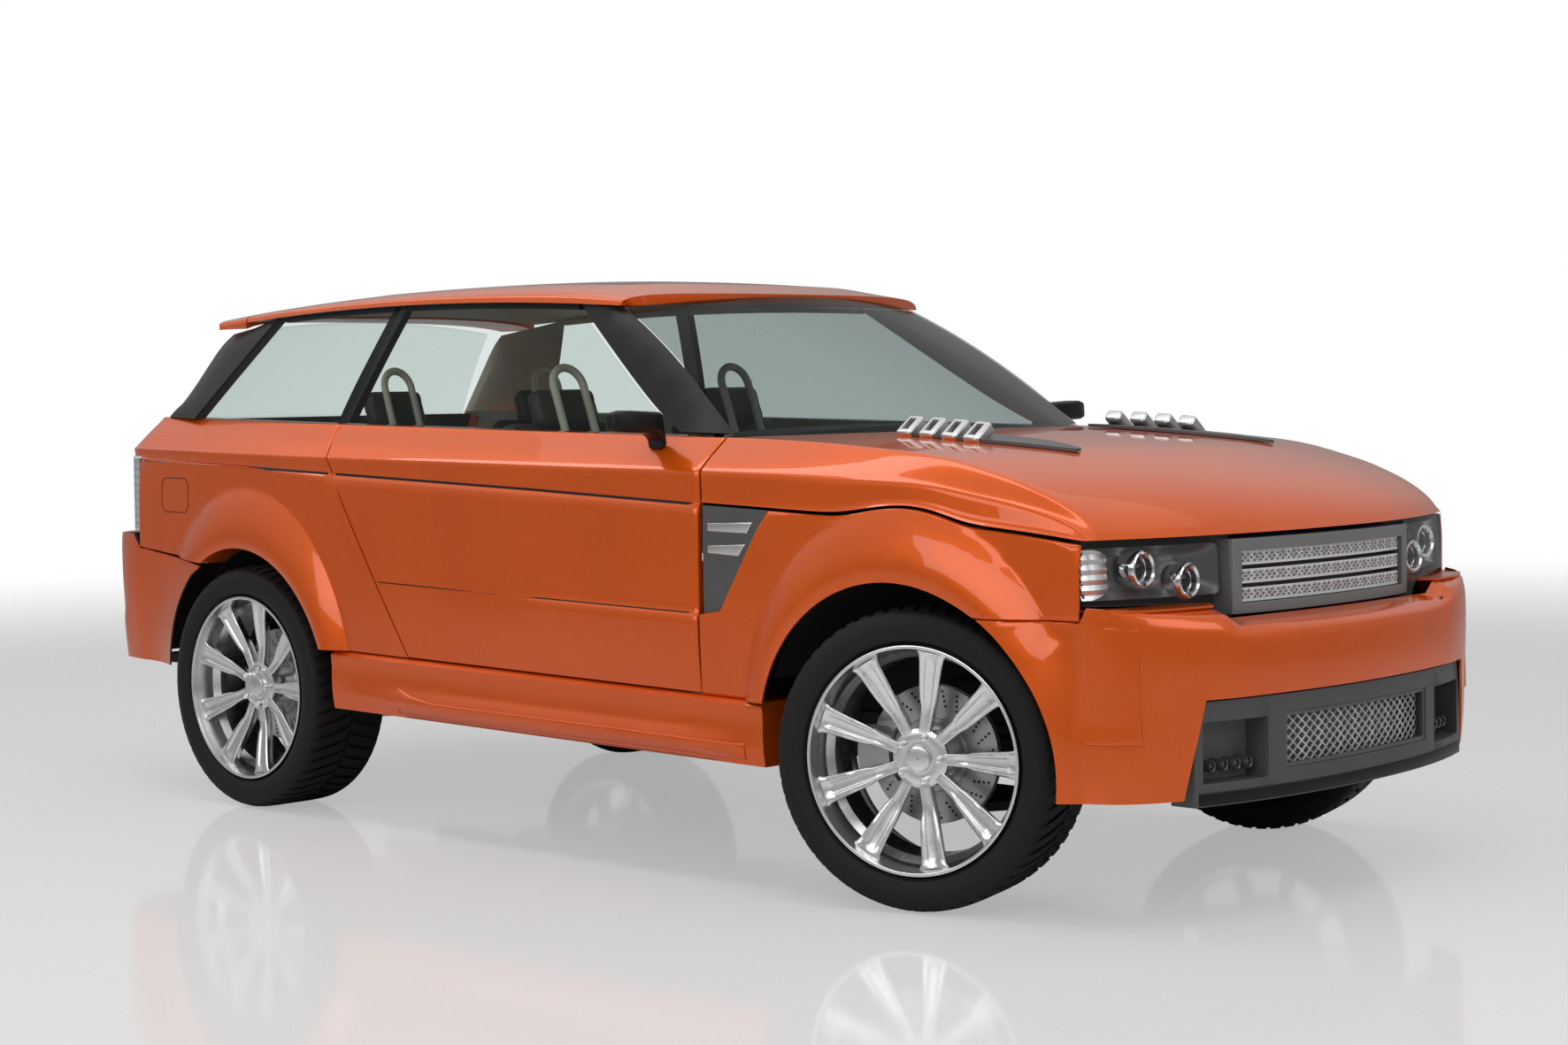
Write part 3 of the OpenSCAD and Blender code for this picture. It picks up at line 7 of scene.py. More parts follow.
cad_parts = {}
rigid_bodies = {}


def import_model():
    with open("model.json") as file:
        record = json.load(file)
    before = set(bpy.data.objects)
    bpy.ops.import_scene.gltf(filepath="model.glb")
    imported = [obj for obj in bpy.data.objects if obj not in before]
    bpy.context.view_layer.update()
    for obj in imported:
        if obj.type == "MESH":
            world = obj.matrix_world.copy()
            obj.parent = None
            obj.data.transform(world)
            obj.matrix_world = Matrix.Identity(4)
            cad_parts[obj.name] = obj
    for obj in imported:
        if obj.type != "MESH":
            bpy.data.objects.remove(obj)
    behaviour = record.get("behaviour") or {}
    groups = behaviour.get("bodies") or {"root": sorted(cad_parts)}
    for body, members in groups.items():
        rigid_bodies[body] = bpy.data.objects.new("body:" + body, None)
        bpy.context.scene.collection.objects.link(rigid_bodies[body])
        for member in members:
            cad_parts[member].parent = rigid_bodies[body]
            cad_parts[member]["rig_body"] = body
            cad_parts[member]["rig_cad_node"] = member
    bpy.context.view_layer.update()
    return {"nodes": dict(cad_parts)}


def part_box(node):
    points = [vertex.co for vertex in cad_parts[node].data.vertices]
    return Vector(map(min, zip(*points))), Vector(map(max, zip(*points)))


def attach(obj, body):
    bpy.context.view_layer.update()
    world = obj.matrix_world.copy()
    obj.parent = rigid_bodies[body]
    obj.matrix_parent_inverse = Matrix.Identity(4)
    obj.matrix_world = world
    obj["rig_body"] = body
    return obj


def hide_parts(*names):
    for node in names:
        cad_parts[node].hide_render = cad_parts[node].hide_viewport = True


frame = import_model()
print("frame loaded:", len(frame["nodes"]), "nodes")

# camera of the photograph, in metres, radians and pixels
lookFrom = {
    "place": (5.97783, -6.07498, 1.33502), "yaw": 2.3172216, "pitch": -0.0364469, "roll": -0.0131528,
    "focal": 3075.677, "offset": (25.944, -45.065), "wide": 1772, "sensor": 36.0, "reach": 200,
}


def aimCamera(s):
    flat = math.cos(s["pitch"])
    ahead = Vector((math.cos(s["yaw"]) * flat, math.sin(s["yaw"]) * flat, math.sin(s["pitch"])))
    right = Vector((math.sin(s["yaw"]), -math.cos(s["yaw"]), 0))
    up = right.cross(ahead)
    c, d = math.cos(s["roll"]), math.sin(s["roll"])
    right, up = c * right + d * up, c * up - d * right
    bpy.ops.object.camera_add()
    cam = bpy.context.object
    cam.name = "photoCamera"
    cam.data.sensor_width = s["sensor"]
    cam.data.lens = s["focal"] / s["wide"] * s["sensor"]
    cam.data.shift_x = -s["offset"][0] / s["wide"]
    cam.data.shift_y = s["offset"][1] / s["wide"]
    cam.data.clip_end = s["reach"]
    cam.matrix_world = Matrix.Translation(s["place"]) @ Matrix((right, up, -ahead)).transposed().to_4x4()
    bpy.context.scene.camera = cam


bpy.ops.object.select_all(action="DESELECT")
aimCamera(lookFrom)
bpy.context.scene.view_settings.view_transform = "Standard"


# a socket that takes part in sums, so a finish reads as plain maths
class Sock:
    def __init__(self, finish, socket):
        self.finish, self.socket = finish, socket

    def math(self, operation, other):
        return self.finish.node("ShaderNodeMath", {"operation": operation}, {0: self, 1: other})

    def __add__(self, other):
        return self.math("ADD", other)

    def __sub__(self, other):
        return self.math("SUBTRACT", other)

    def __mul__(self, other):
        return self.math("MULTIPLY", other)

    def __pow__(self, other):
        return self.math("POWER", other)


class Finish:
    def __init__(self, name, tree=None):
        self.material = None
        if tree is None:
            self.material = bpy.data.materials.new(name)
            self.material.use_nodes = True
            tree = self.material.node_tree
        tree.nodes.clear()
        self.tree = tree

    def put(self, socket, value):
        if isinstance(value, Sock):
            self.tree.links.new(value.socket, socket)
        elif hasattr(value, "__len__") and len(value) == 3 and len(socket.default_value) == 4:
            socket.default_value = (*value, 1.0)
        else:
            socket.default_value = value

    # any node: its settings come first, then the values or links of its sockets
    def node(self, kind, settings=None, sockets=None, out=0):
        n = self.tree.nodes.new(kind)
        for key, value in (settings or {}).items():
            setattr(n, key, value)
        for key, value in (sockets or {}).items():
            self.put(n.inputs[key], value)
        return Sock(self, n.outputs[out]) if n.outputs else None

    def place(self):
        return self.node("ShaderNodeTexCoord", out="Object")

    def noise(self, scale, detail=2.0, rough=0.5, vector=None):
        sockets = {"Vector": vector or self.place(), "Scale": scale, "Detail": detail, "Roughness": rough}
        return self.node("ShaderNodeTexNoise", {}, sockets)

    def cells(self, scale, out, feature="F1"):
        sockets = {"Vector": self.place(), "Scale": scale}
        return self.node("ShaderNodeTexVoronoi", {"feature": feature}, sockets, out)

    def spread(self, value, low, high):
        return self.node("ShaderNodeMapRange", {}, {"Value": value, "To Min": low, "To Max": high})

    def blendColour(self, factor, a, b):
        return self.node("ShaderNodeMix", {"data_type": "RGBA"}, {0: factor, 6: a, 7: b}, 2)

    def bump(self, height, strength, distance):
        return self.node("ShaderNodeBump", {}, {"Height": height, "Strength": strength, "Distance": distance})

    def surface(self, sockets):
        return self.node("ShaderNodeBsdfPrincipled", {}, sockets)

    def close(self, shader):
        self.node("ShaderNodeOutputMaterial", {}, {"Surface": shader})
        return self.material


def paintFinish(name, deep, bright):
    f = Finish(name)
    flake = f.node("ShaderNodeSeparateColor", {}, {"Color": f.cells(2600, "Color")})
    haze = f.noise(3.0, 3)
    colour = f.blendColour(f.spread(flake, 0.0, 0.5) + f.spread(haze, 0.1, 0.5), deep, bright)
    return f.close(f.surface({
        "Base Color": colour, "Metallic": 0.35, "Roughness": f.spread(flake, 0.27, 0.36),
        "Normal": f.bump(flake, 0.035, 0.0004), "Coat Weight": 0.9, "Coat Roughness": 0.02,
        "Specular IOR Level": 0.1, "Specular Tint": (1.0, 0.55, 0.35)}))


def plasticFinish(name, dark, pale, rough, grain=900, depth=0.12, metal=0.0, coat=0.0, shine=0.5):
    f = Finish(name)
    speck = f.noise(grain, 3, 0.6)
    colour = f.blendColour(f.spread(f.noise(6.0, 3), 0.2, 0.8), dark, pale)
    return f.close(f.surface({
        "Base Color": colour, "Roughness": f.spread(speck, rough * 0.85, rough * 1.15), "Metallic": metal,
        "Coat Weight": coat, "Coat Roughness": 0.04, "Specular IOR Level": shine,
        "Normal": f.bump(speck, depth, 0.0006)}))


def metalFinish(name, dark, pale, rough, streak=(40, 40, 900)):
    f = Finish(name)
    along = f.node("ShaderNodeMapping", {}, {"Vector": f.place(), "Scale": streak})
    brush = f.noise(1.0, 4, 0.6, along)
    colour = f.blendColour(f.spread(brush, 0.1, 0.6) + f.spread(f.noise(9.0, 3), 0.0, 0.35), dark, pale)
    return f.close(f.surface({
        "Base Color": colour, "Metallic": 1.0, "Roughness": f.spread(brush, rough * 0.8, rough * 1.2),
        "Normal": f.bump(brush, 0.03, 0.0003)}))


def glassFinish(name, tint, gloss, share):
    f = Finish(name)
    clear = f.node("ShaderNodeBsdfTransparent", {}, {"Color": tint})
    shine = f.surface({
        "Base Color": gloss, "Roughness": f.spread(f.noise(14.0, 4), 0.015, 0.05), "Metallic": 0.0,
        "Specular IOR Level": 0.9})
    edge = f.node("ShaderNodeLayerWeight", {}, {"Blend": 0.5}, "Facing")
    return f.close(f.node("ShaderNodeMixShader", {}, {0: edge ** 4 * 0.6 + share, 1: clear, 2: shine}))


def leatherFinish(name, dark, pale, rough):
    f = Finish(name)
    pore = f.cells(420, "Distance", "DISTANCE_TO_EDGE")
    crease = f.noise(55, 4, 0.65)
    colour = f.blendColour(f.spread(f.noise(7, 3), 0.1, 0.7) + f.spread(crease, 0.0, 0.25), dark, pale)
    height = f.spread(pore, 0.0, 0.7) + crease * 0.35
    return f.close(f.surface({
        "Base Color": colour, "Roughness": f.spread(crease, rough * 0.85, rough * 1.15),
        "Sheen Weight": 0.15, "Normal": f.bump(height, 0.22, 0.0008)}))


def ribbedFinish(name, dark, pale):
    f = Finish(name)
    bands = {"bands_direction": "Z", "wave_profile": "SIN"}
    rib = f.node("ShaderNodeTexWave", bands, {"Vector": f.place(), "Scale": 12.0}, "Fac")
    return f.close(f.surface({
        "Base Color": f.blendColour(rib, dark, pale), "Roughness": f.spread(rib, 0.12, 0.25),
        "Metallic": 0.3, "Normal": f.bump(rib, 0.8, 0.004)}))


def rubberFinish(name, dark, pale):
    f = Finish(name)
    dust = f.noise(30, 5, 0.65)
    return f.close(f.surface({
        "Base Color": f.blendColour(f.spread(dust, 0.0, 0.6), dark, pale),
        "Roughness": f.spread(dust, 0.55, 0.75), "Specular IOR Level": 0.28,
        "Normal": f.bump(f.noise(700, 2), 0.12, 0.0004)}))


finishes = {
    "paint": paintFinish("orangeMetallic", (0.56, 0.069, 0.001), (0.85, 0.125, 0.003)),
    "trim": plasticFinish("satinBlack", (0.006, 0.006, 0.007), (0.012, 0.012, 0.013), 0.34, 900, 0.03,
                          shine=0.2),
    "grey": plasticFinish("satinGrey", (0.075, 0.075, 0.077), (0.12, 0.12, 0.122), 0.42, 1400, 0.12, 0.25),
    "insert": plasticFinish("darkSatin", (0.055, 0.055, 0.057), (0.09, 0.09, 0.092), 0.45, 1400, 0.12, 0.1),
    "under": plasticFinish("underBlack", (0.008, 0.008, 0.008), (0.02, 0.019, 0.018), 0.75, 160, 0.4),
    "engine": plasticFinish("engineCast", (0.10, 0.10, 0.105), (0.2, 0.2, 0.2), 0.5, 220, 0.3, 0.7),
    "steel": metalFinish("brakeSteel", (0.30, 0.30, 0.31), (0.52, 0.52, 0.53), 0.32),
    "alloy": metalFinish("wheelAlloy", (0.66, 0.66, 0.67), (0.80, 0.80, 0.81), 0.26, (60, 60, 60)),
    "silver": metalFinish("satinSilver", (0.55, 0.55, 0.55), (0.74, 0.74, 0.74), 0.28),
    "chrome": metalFinish("chromeRing", (0.72, 0.72, 0.73), (0.86, 0.86, 0.87), 0.06),
    "tyre": rubberFinish("tyreRubber", (0.006, 0.006, 0.006), (0.018, 0.0175, 0.017)),
    # near-black rubber: the real joint line round the filler flap, and painted shade in the side groove and
    # crease strips
    "jointAndShade": rubberFinish("jointAndShadeRubber", (0.006, 0.006, 0.006), (0.014, 0.014, 0.014)),
    "meshSilver": plasticFinish("meshSilver", (0.72, 0.72, 0.72), (0.86, 0.86, 0.86), 0.35, 600, 0.05, 0.25),
    "frame": plasticFinish("frameGrey", (0.15, 0.15, 0.152), (0.21, 0.21, 0.212), 0.42, 1400, 0.12, 0.2),
    "screen": glassFinish("screenGlass", (0.66, 0.70, 0.695), (0.05, 0.055, 0.055), 0.05),
    "glass": glassFinish("clearGlass", (0.9, 0.935, 0.925), (0.05, 0.055, 0.055), 0.04),
    "darkGlass": glassFinish("roofGlass", (0.02, 0.022, 0.024), (0.01, 0.01, 0.012), 0.35),
    "lens": glassFinish("lampLens", (0.95, 0.96, 0.97), (0.3, 0.3, 0.3), 0.05),
    "lampWhite": plasticFinish("lampWhite", (0.62, 0.62, 0.62), (0.8, 0.8, 0.8), 0.2, 300, 0.1, 0.2, 0.6),
    # near-black used only as painted shade: the drilled holes on the brake discs and the floors of the louvre
    # slots
    "paintedHoleShade": plasticFinish("paintedHoleShade", (0.012, 0.012, 0.013), (0.03, 0.03, 0.032), 0.3, 600, 0.1, 0.3),
    "lampGrey": plasticFinish("lampGrey", (0.07, 0.07, 0.072), (0.13, 0.13, 0.132), 0.3, 600, 0.1, 0.5),
    "tailRibs": ribbedFinish("tailRibs", (0.55, 0.54, 0.54), (0.78, 0.77, 0.77)),
    "cream": leatherFinish("creamLeather", (0.66, 0.61, 0.48), (0.84, 0.79, 0.66), 0.5),
    "hide": leatherFinish("darkLeather", (0.018, 0.016, 0.015), (0.045, 0.04, 0.036), 0.48),
    "dash": leatherFinish("dashSkin", (0.02, 0.02, 0.021), (0.04, 0.04, 0.041), 0.6),
}
print("finishes ready:", len(finishes))


def pickNone():
    if bpy.context.object and bpy.context.object.mode != "OBJECT":
        bpy.ops.object.mode_set(mode="OBJECT")
    bpy.ops.object.select_all(action="DESELECT")


def makeActive(piece):
    pickNone()
    piece.select_set(True)
    bpy.context.view_layer.objects.active = piece


# edit mode with the selection that the mesh has, or with all of it
def editPicked(piece):
    makeActive(piece)
    bpy.ops.object.mode_set(mode="EDIT")


def editAll(piece):
    editPicked(piece)
    bpy.ops.mesh.select_all(action="SELECT")


def doneEdit():
    bpy.ops.object.mode_set(mode="OBJECT")


def faceOut(piece):
    editAll(piece)
    bpy.ops.mesh.normals_make_consistent(inside=False)
    doneEdit()


def applyModifier(piece, kind, **settings):
    makeActive(piece)
    m = piece.modifiers.new(kind.lower(), kind)
    for key, value in settings.items():
        setattr(m, key, value)
    bpy.ops.object.modifier_apply(modifier=m.name)


def roundEdges(piece, width, segments, angle=30):
    applyModifier(piece, "BEVEL", width=width, segments=segments, limit_method="ANGLE",
                  angle_limit=math.radians(angle))


def copyPiece(piece, name, move=None):
    other = piece.copy()
    other.data = piece.data.copy()
    other.name = name
    bpy.context.scene.collection.objects.link(other)
    if move:
        other.data.transform(move)
    return other


def joinPieces(pieces, name):
    makeActive(pieces[0])
    for p in pieces[1:]:
        p.select_set(True)
    bpy.ops.object.join()
    pieces[0].name = name
    return pieces[0]


def finishPiece(piece, body, finish, slot, replaces=(), angle=35):
    makeActive(piece)
    bpy.ops.object.transform_apply(location=True, rotation=True, scale=True)
    if not piece.data.materials:
        piece.data.materials.append(finishes[finish])
    bpy.ops.object.shade_smooth_by_angle(angle=math.radians(angle))
    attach(piece, body)
    if replaces:
        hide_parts(*replaces)
    return piece


# a left piece and its mirror image on the right
def finishPair(piece, body, finish, slot, angle=35):
    twin = copyPiece(piece, piece.name.replace("_l", "_r"), Matrix.Scale(-1, 4, (0, 1, 0)))
    editAll(twin)
    bpy.ops.mesh.flip_normals()
    doneEdit()
    for q in (piece, twin):
        finishPiece(q, body, finish, slot, angle=angle)


def addCube(name, place, size):
    pickNone()
    bpy.ops.mesh.primitive_cube_add(size=1, location=place)
    piece = bpy.context.object
    piece.name = name
    piece.scale = size
    bpy.ops.object.transform_apply(location=True, scale=True)
    return piece


# a flat grid bent into place: shape turns shares along and across into a spot
def bentGrid(name, columns, rows, shape):
    pickNone()
    bpy.ops.mesh.primitive_grid_add(x_subdivisions=columns, y_subdivisions=rows, size=1)
    piece = bpy.context.object
    piece.name = name
    for v in piece.data.vertices:
        v.co = shape(v.co.x + 0.5, v.co.y + 0.5)
    return piece


# give a sheet its thickness; the far face may taper
def thicken(piece, step, taper=None, about=(0, 0, 0)):
    editAll(piece)
    bpy.ops.mesh.normals_make_consistent(inside=False)
    bpy.ops.mesh.extrude_region_move(TRANSFORM_OT_translate={"value": step})
    if taper:
        bpy.ops.transform.resize(value=taper, center_override=about)
    doneEdit()
    faceOut(piece)


# rings of edges drawn out of a circle, as on a lathe; stations are (radius, height)
def turnProfile(name, stations, segments):
    pickNone()
    r0, z0 = stations[0]
    bpy.ops.mesh.primitive_circle_add(vertices=segments, radius=r0, fill_type="NOTHING", location=(0, 0, z0))
    piece = bpy.context.object
    piece.name = name
    bpy.ops.object.transform_apply(location=True)
    editAll(piece)
    for (ra, za), (rb, zb) in zip(stations, stations[1:]):
        bpy.ops.mesh.extrude_edges_move(TRANSFORM_OT_translate={"value": (0, 0, zb - za)})
        bpy.ops.transform.resize(value=(rb / ra, rb / ra, 1), center_override=(0, 0, zb))
    bpy.ops.mesh.select_all(action="SELECT")
    bpy.ops.mesh.remove_doubles(threshold=0.00005)
    bpy.ops.mesh.normals_make_consistent(inside=False)
    doneEdit()
    return piece


def ringCopies(piece, count):
    editAll(piece)
    bpy.ops.mesh.spin(steps=count, dupli=True, angle=2 * math.pi, center=(0, 0, 0), axis=(0, 0, 1))
    bpy.ops.mesh.select_all(action="SELECT")
    bpy.ops.mesh.remove_doubles(threshold=0.000005)
    doneEdit()
    return piece


# a loose copy of a CAD node, which itself is never touched
def copyNode(node, name):
    piece = copyPiece(frame["nodes"][node], name)
    piece.parent = None
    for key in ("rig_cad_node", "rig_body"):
        if key in piece:
            del piece[key]
    piece.hide_render = piece.hide_viewport = False
    piece.data.materials.clear()
    return piece


# which way the lined side of a panel faces, from a face's centre and normal
linedSides = {
    "cabin": lambda c, n: n.y * (1 if c.y > 0 else -1) < -0.55,
    "down": lambda c, n: n.z < -0.7,
    "front": lambda c, n: n.x > 0.35 and c.x < -1.5,
    "rear": lambda c, n: n.x < -0.4,
}
skin = {"merge": 0.00002, "flat": 50, "skew": 60, "sharp": 26}


# two finishes on one piece: the second goes to the faces that picked names
def twoTone(piece, first, second, picked):
    for finish in (first, second):
        piece.data.materials.append(finishes[finish])
    for p in piece.data.polygons:
        p.material_index = 1 if picked(p) else 0


# a smoothed copy of a CAD panel; faces on its inner side get the lining
def dressPanel(node, finish, slot, lining=None, soften=0.0, levels=2):
    piece = copyNode(node, node + "_skin")
    editAll(piece)
    bpy.ops.mesh.remove_doubles(threshold=skin["merge"])
    bpy.ops.mesh.tris_convert_to_quads(face_threshold=math.radians(skin["flat"]),
                                       shape_threshold=math.radians(skin["skew"]))
    bpy.ops.mesh.select_all(action="DESELECT")
    bpy.ops.mesh.select_mode(type="EDGE")
    bpy.ops.mesh.edges_select_sharp(sharpness=math.radians(skin["sharp"]))
    bpy.ops.transform.edge_crease(value=1.0)
    bpy.ops.mesh.select_mode(type="VERT")
    doneEdit()
    if lining:
        twoTone(piece, finish, lining[0], lambda p: linedSides[lining[1]](p.center, p.normal))
    if soften:
        roundEdges(piece, soften, 4)
    else:
        applyModifier(piece, "SUBSURF", levels=levels, render_levels=levels)
    return finishPiece(piece, frame["nodes"][node]["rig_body"], finish, slot, (node,), 30)


panels = {
    "paint": {
        "front_wings": ("under", "cabin"), "sills": ("under", "cabin"), "rear_quarters": ("cream", "cabin"),
        "front_bumper": ("under", "rear"), "rear_bumper": ("under", "front"), "bonnet": ("under", "down"),
        "roof": ("cream", "down"), "door_l": ("cream", "cabin"), "door_r": ("cream", "cabin"),
        "tailgate": ("dash", "front"), "spoiler": None,
    },
    "trim": {"pillars": ("cream", "cabin"), "mirror_l": None, "mirror_r": None, "cowl": None},
    "grey": {"side_vents": None, "bonnet_vents": None},
    "frame": {"grille": None},
    "screen": {"windscreen": None},
    "insert": {"bumper_insert": None},
    "glass": {"quarter_glasses": None, "door_glass_l": None, "door_glass_r": None, "tailgate_glass": None},
    "darkGlass": {"roof_glass": None},
    "lens": {"headlamps": None},
    "dash": {"dashboard": None},
}
slotOf = {"paint": "paint", "trim": "trim", "grey": "grey", "frame": "grey", "insert": "grey",
          "glass": "glass", "screen": "glass", "darkGlass": "dark_glass", "lens": "lamp", "dash": "dash"}
softEdges = {"grille": 0.002, "bumper_insert": 0.003, "dashboard": 0.02, "cowl": 0.002,
             "mirror_l": 0.009, "mirror_r": 0.009}
for finishName, nodes in panels.items():
    for node, lining in nodes.items():
        dressPanel(node, finishName, slotOf[finishName], lining, softEdges.get(node, 0.0))
print("panels dressed")

# CAD nodes that keep their shape and get a finish
plainNodes = {
    "body_tub": "under", "chassis_frame": "under", "engine_block": "engine", "exhaust": "steel",
    "fuel_tank": "under", "driveline": "under", "front_arms": "under", "rear_arms": "steel",
    "knuckle_l": "steel", "knuckle_r": "steel",
}
for node, finishName in plainNodes.items():
    materials = frame["nodes"][node].data.materials
    materials.clear()
    materials.append(finishes[finishName])

# alloy wheel about its own axis, outer side up; profiles are (radius, height)
wheel = {
    "spokes": 9, "rim": 0.291, "half": 0.135, "barrelSegments": 108, "hubSegments": 72, "discSegments": 96,
    # along a spoke: radius, half width, height of its face, depth of its groove
    "spoke": [(0.050, 0.0155, 0.080, 0.0), (0.080, 0.016, 0.082, 0.0), (0.110, 0.017, 0.081, 0.0012),
              (0.132, 0.0185, 0.083, 0.0025), (0.150, 0.0235, 0.088, 0.0045), (0.180, 0.0268, 0.095, 0.0055),
              (0.215, 0.0298, 0.102, 0.006), (0.248, 0.0328, 0.1075, 0.006), (0.265, 0.0358, 0.110, 0.003),
              (0.2755, 0.0425, 0.1125, 0.0005)],
    "across": [-1.0, -0.86, -0.52, -0.36, 0.0, 0.36, 0.52, 0.86, 1.0], "lip": 0.0032, "spokeDeep": 0.026,
    "spokeTaper": (1, 0.78, 1), "spokeFoot": (0, 0, 0.06), "spokeRound": (0.0012, 2, 40),
    "hub": [(0.002, 0.0945), (0.024, 0.094), (0.031, 0.092), (0.0335, 0.088), (0.0345, 0.0815),
            (0.040, 0.0805), (0.046, 0.0815), (0.068, 0.081), (0.076, 0.077), (0.079, 0.068), (0.077, 0.04),
            (0.07, 0.034), (0.07, 0.002), (0.022, 0.002)],
    "bolts": 5, "bolt": (0.0105, 0.016), "boltPlace": (0.057, 0, 0.0885), "disc": 0.178,
    "boltInsets": ((0.0025, 0.002), (0.003, -0.003)), "boltRound": (0.0008, 2),
    "hole": (0.0038, 0.0012), "holePlace": (0.128, 0, -0.0083), "holeStep": (0.0115, 0.006, 0),
    "holeRows": 24,
}


def makeSpoke(s):
    rows, cols = len(s["spoke"]), len(s["across"])

    def shape(a, b):
        r, half, z, groove = s["spoke"][round(a * (rows - 1))]
        across = s["across"][round(b * (cols - 1))]
        drop = s["lip"] if abs(across) > 0.95 else groove if abs(across) < 0.4 else 0.0
        return r, across * half, z - drop
    piece = bentGrid("spoke", rows - 1, cols - 1, shape)
    thicken(piece, (0, 0, -s["spokeDeep"]), s["spokeTaper"], s["spokeFoot"])
    roundEdges(piece, *s["spokeRound"])
    return ringCopies(piece, s["spokes"])


def addRod(vertices, size, place):
    pickNone()
    bpy.ops.mesh.primitive_cylinder_add(vertices=vertices, radius=size[0], depth=size[1], location=place)
    bpy.ops.object.transform_apply(location=True)
    return bpy.context.object


def makeBolts(s):
    piece = addRod(6, s["bolt"], s["boltPlace"])
    editAll(piece)
    bpy.ops.mesh.select_all(action="DESELECT")
    doneEdit()
    for p in piece.data.polygons:
        p.select = p.normal.z > 0.9
    editPicked(piece)
    for thick, deep in s["boltInsets"]:
        bpy.ops.mesh.inset(thickness=thick, depth=deep)
    doneEdit()
    roundEdges(piece, *s["boltRound"])
    return ringCopies(piece, s["bolts"])


# dark discs standing just proud of the brake disc's face: painted shade in place of drilled holes, which are
# not cut
def makeDiscHoleShade(s):
    piece = addRod(10, s["hole"], s["holePlace"])
    editAll(piece)
    for k in range(3):
        bpy.ops.mesh.duplicate_move(TRANSFORM_OT_translate={"value": s["holeStep"]})
    doneEdit()
    return ringCopies(piece, s["holeRows"])


def makeWheel(s):
    r, h, d = s["rim"], s["half"], s["disc"]
    barrel = [(r, h), (r - 0.0015, h + 0.0008), (r - 0.006, h + 0.0008), (r - 0.008, h),
              (r - 0.0105, h - 0.007), (r - 0.013, h - 0.022), (r - 0.017, h - 0.03), (r - 0.02, 0.066),
              (r - 0.036, 0.046), (r - 0.036, -0.046), (r - 0.02, -0.066), (r - 0.009, -h), (r, -h),
              (r, 0.010 - h), (r - 0.012, 0.017 - h), (r - 0.012, -0.062), (r - 0.028, -0.042),
              (r - 0.028, 0.042), (r - 0.012, 0.062), (r - 0.012, h - 0.017), (r, h - 0.01), (r, h)]
    disc = [(0.022, 0.003), (0.094, 0.003), (0.096, 0.001), (0.096, -0.009), (0.1, -0.0085),
            (d - 0.001, -0.0085), (d, -0.0095), (d, -0.0165), (d - 0.012, -0.0175), (d - 0.012, -0.0245),
            (d, -0.0255), (d, -0.0325), (d - 0.001, -0.0335), (0.1, -0.0335), (0.022, -0.0335)]
    made = {
        "rimBarrel": (turnProfile("rimBarrel", barrel, s["barrelSegments"]), "alloy"),
        "wheelHub": (turnProfile("wheelHub", s["hub"], s["hubSegments"]), "alloy"),
        "spokes": (makeSpoke(s), "alloy"), "bolts": (makeBolts(s), "chrome"),
        "brakeDisc": (turnProfile("brakeDisc", disc, s["discSegments"]), "steel"),
        "discHoleShade": (makeDiscHoleShade(s), "paintedHoleShade"),
    }
    for piece, finishName in made.values():
        piece.data.materials.append(finishes[finishName])
    return joinPieces([piece for piece, finishName in made.values()], "wheelPattern")


# tyre with slanted shoulder blocks that meet in a V along the middle
tyre = {
    "radius": 0.386, "depth": 0.007, "blocks": 56, "lean": 0.115, "segments": 112, "root": 0.976,
    "side": [(0.2795, 0.117), (0.293, 0.1165), (0.300, 0.131), (0.3035, 0.1365), (0.308, 0.1375),
             (0.3105, 0.1395), (0.337, 0.143), (0.352, 0.1425), (0.3545, 0.1412), (0.366, 0.1385),
             (0.3725, 0.1335), (0.3765, 0.126)],
    # across a block: distance from the middle, drop below the tread
    "block": [(0.004, 0), (0.022, 0), (0.045, 0), (0.068, 0), (0.092, 0.0007), (0.112, 0.003), (0.126, 0.008),
              (0.1345, 0.0135)],
}


def makeTyre(s):
    r, base, last = s["radius"], s["radius"] - s["depth"], len(s["block"]) - 1
    step = 2 * math.pi / s["blocks"]
    side = s["side"] + [(base, 0.112), (base, 0.06), (base + 0.0005, 0.0)]
    stations = side + [(a, -b) for a, b in reversed(side[:-1])] + [side[0]]
    carcass = turnProfile("tyreCarcass", stations, s["segments"])

    def shape(a, b):
        k = round(b * last)
        y, drop = s["block"][k]
        along = (k / last) ** 0.8
        turn = s["lean"] * (1 - along) + (0.5 if a > 0.5 else -0.5) * step * (0.74 - 0.1 * along)
        return (r - drop) * math.cos(turn), (r - drop) * math.sin(turn), y
    block = bentGrid("treadBlock", 1, last, shape)
    thicken(block, (0, 0, 0), (s["root"], s["root"], 1))
    other = copyPiece(block, "treadBlockOther")
    editAll(other)
    bpy.ops.transform.resize(value=(1, 1, -1), center_override=(0, 0, 0))
    bpy.ops.transform.rotate(value=step / 2, orient_axis="Z", center_override=(0, 0, 0))
    bpy.ops.mesh.normals_make_consistent(inside=False)
    doneEdit()
    both = ringCopies(joinPieces([block, other], "treadBlocks"), s["blocks"])
    whole = joinPieces([carcass, both], "tyrePattern")
    whole.data.materials.append(finishes["tyre"])
    return whole


axle = {"front": 1.502, "rear": -1.243, "track": 0.797, "kingpin": 0.738, "radius": 0.386, "steer": 16}


def cornerPlace(s, end, side):
    turn = Matrix.Rotation(math.radians(s["steer"]) if end == "front" else 0.0, 4, "Z")
    arm = Vector((0, side * (s["track"] - s["kingpin"]), 0))
    spot = Vector((s[end], side * s["kingpin"], s["radius"])) + turn @ arm
    return Matrix.Translation(spot) @ turn @ Matrix.Rotation(-side * math.pi / 2, 4, "X")


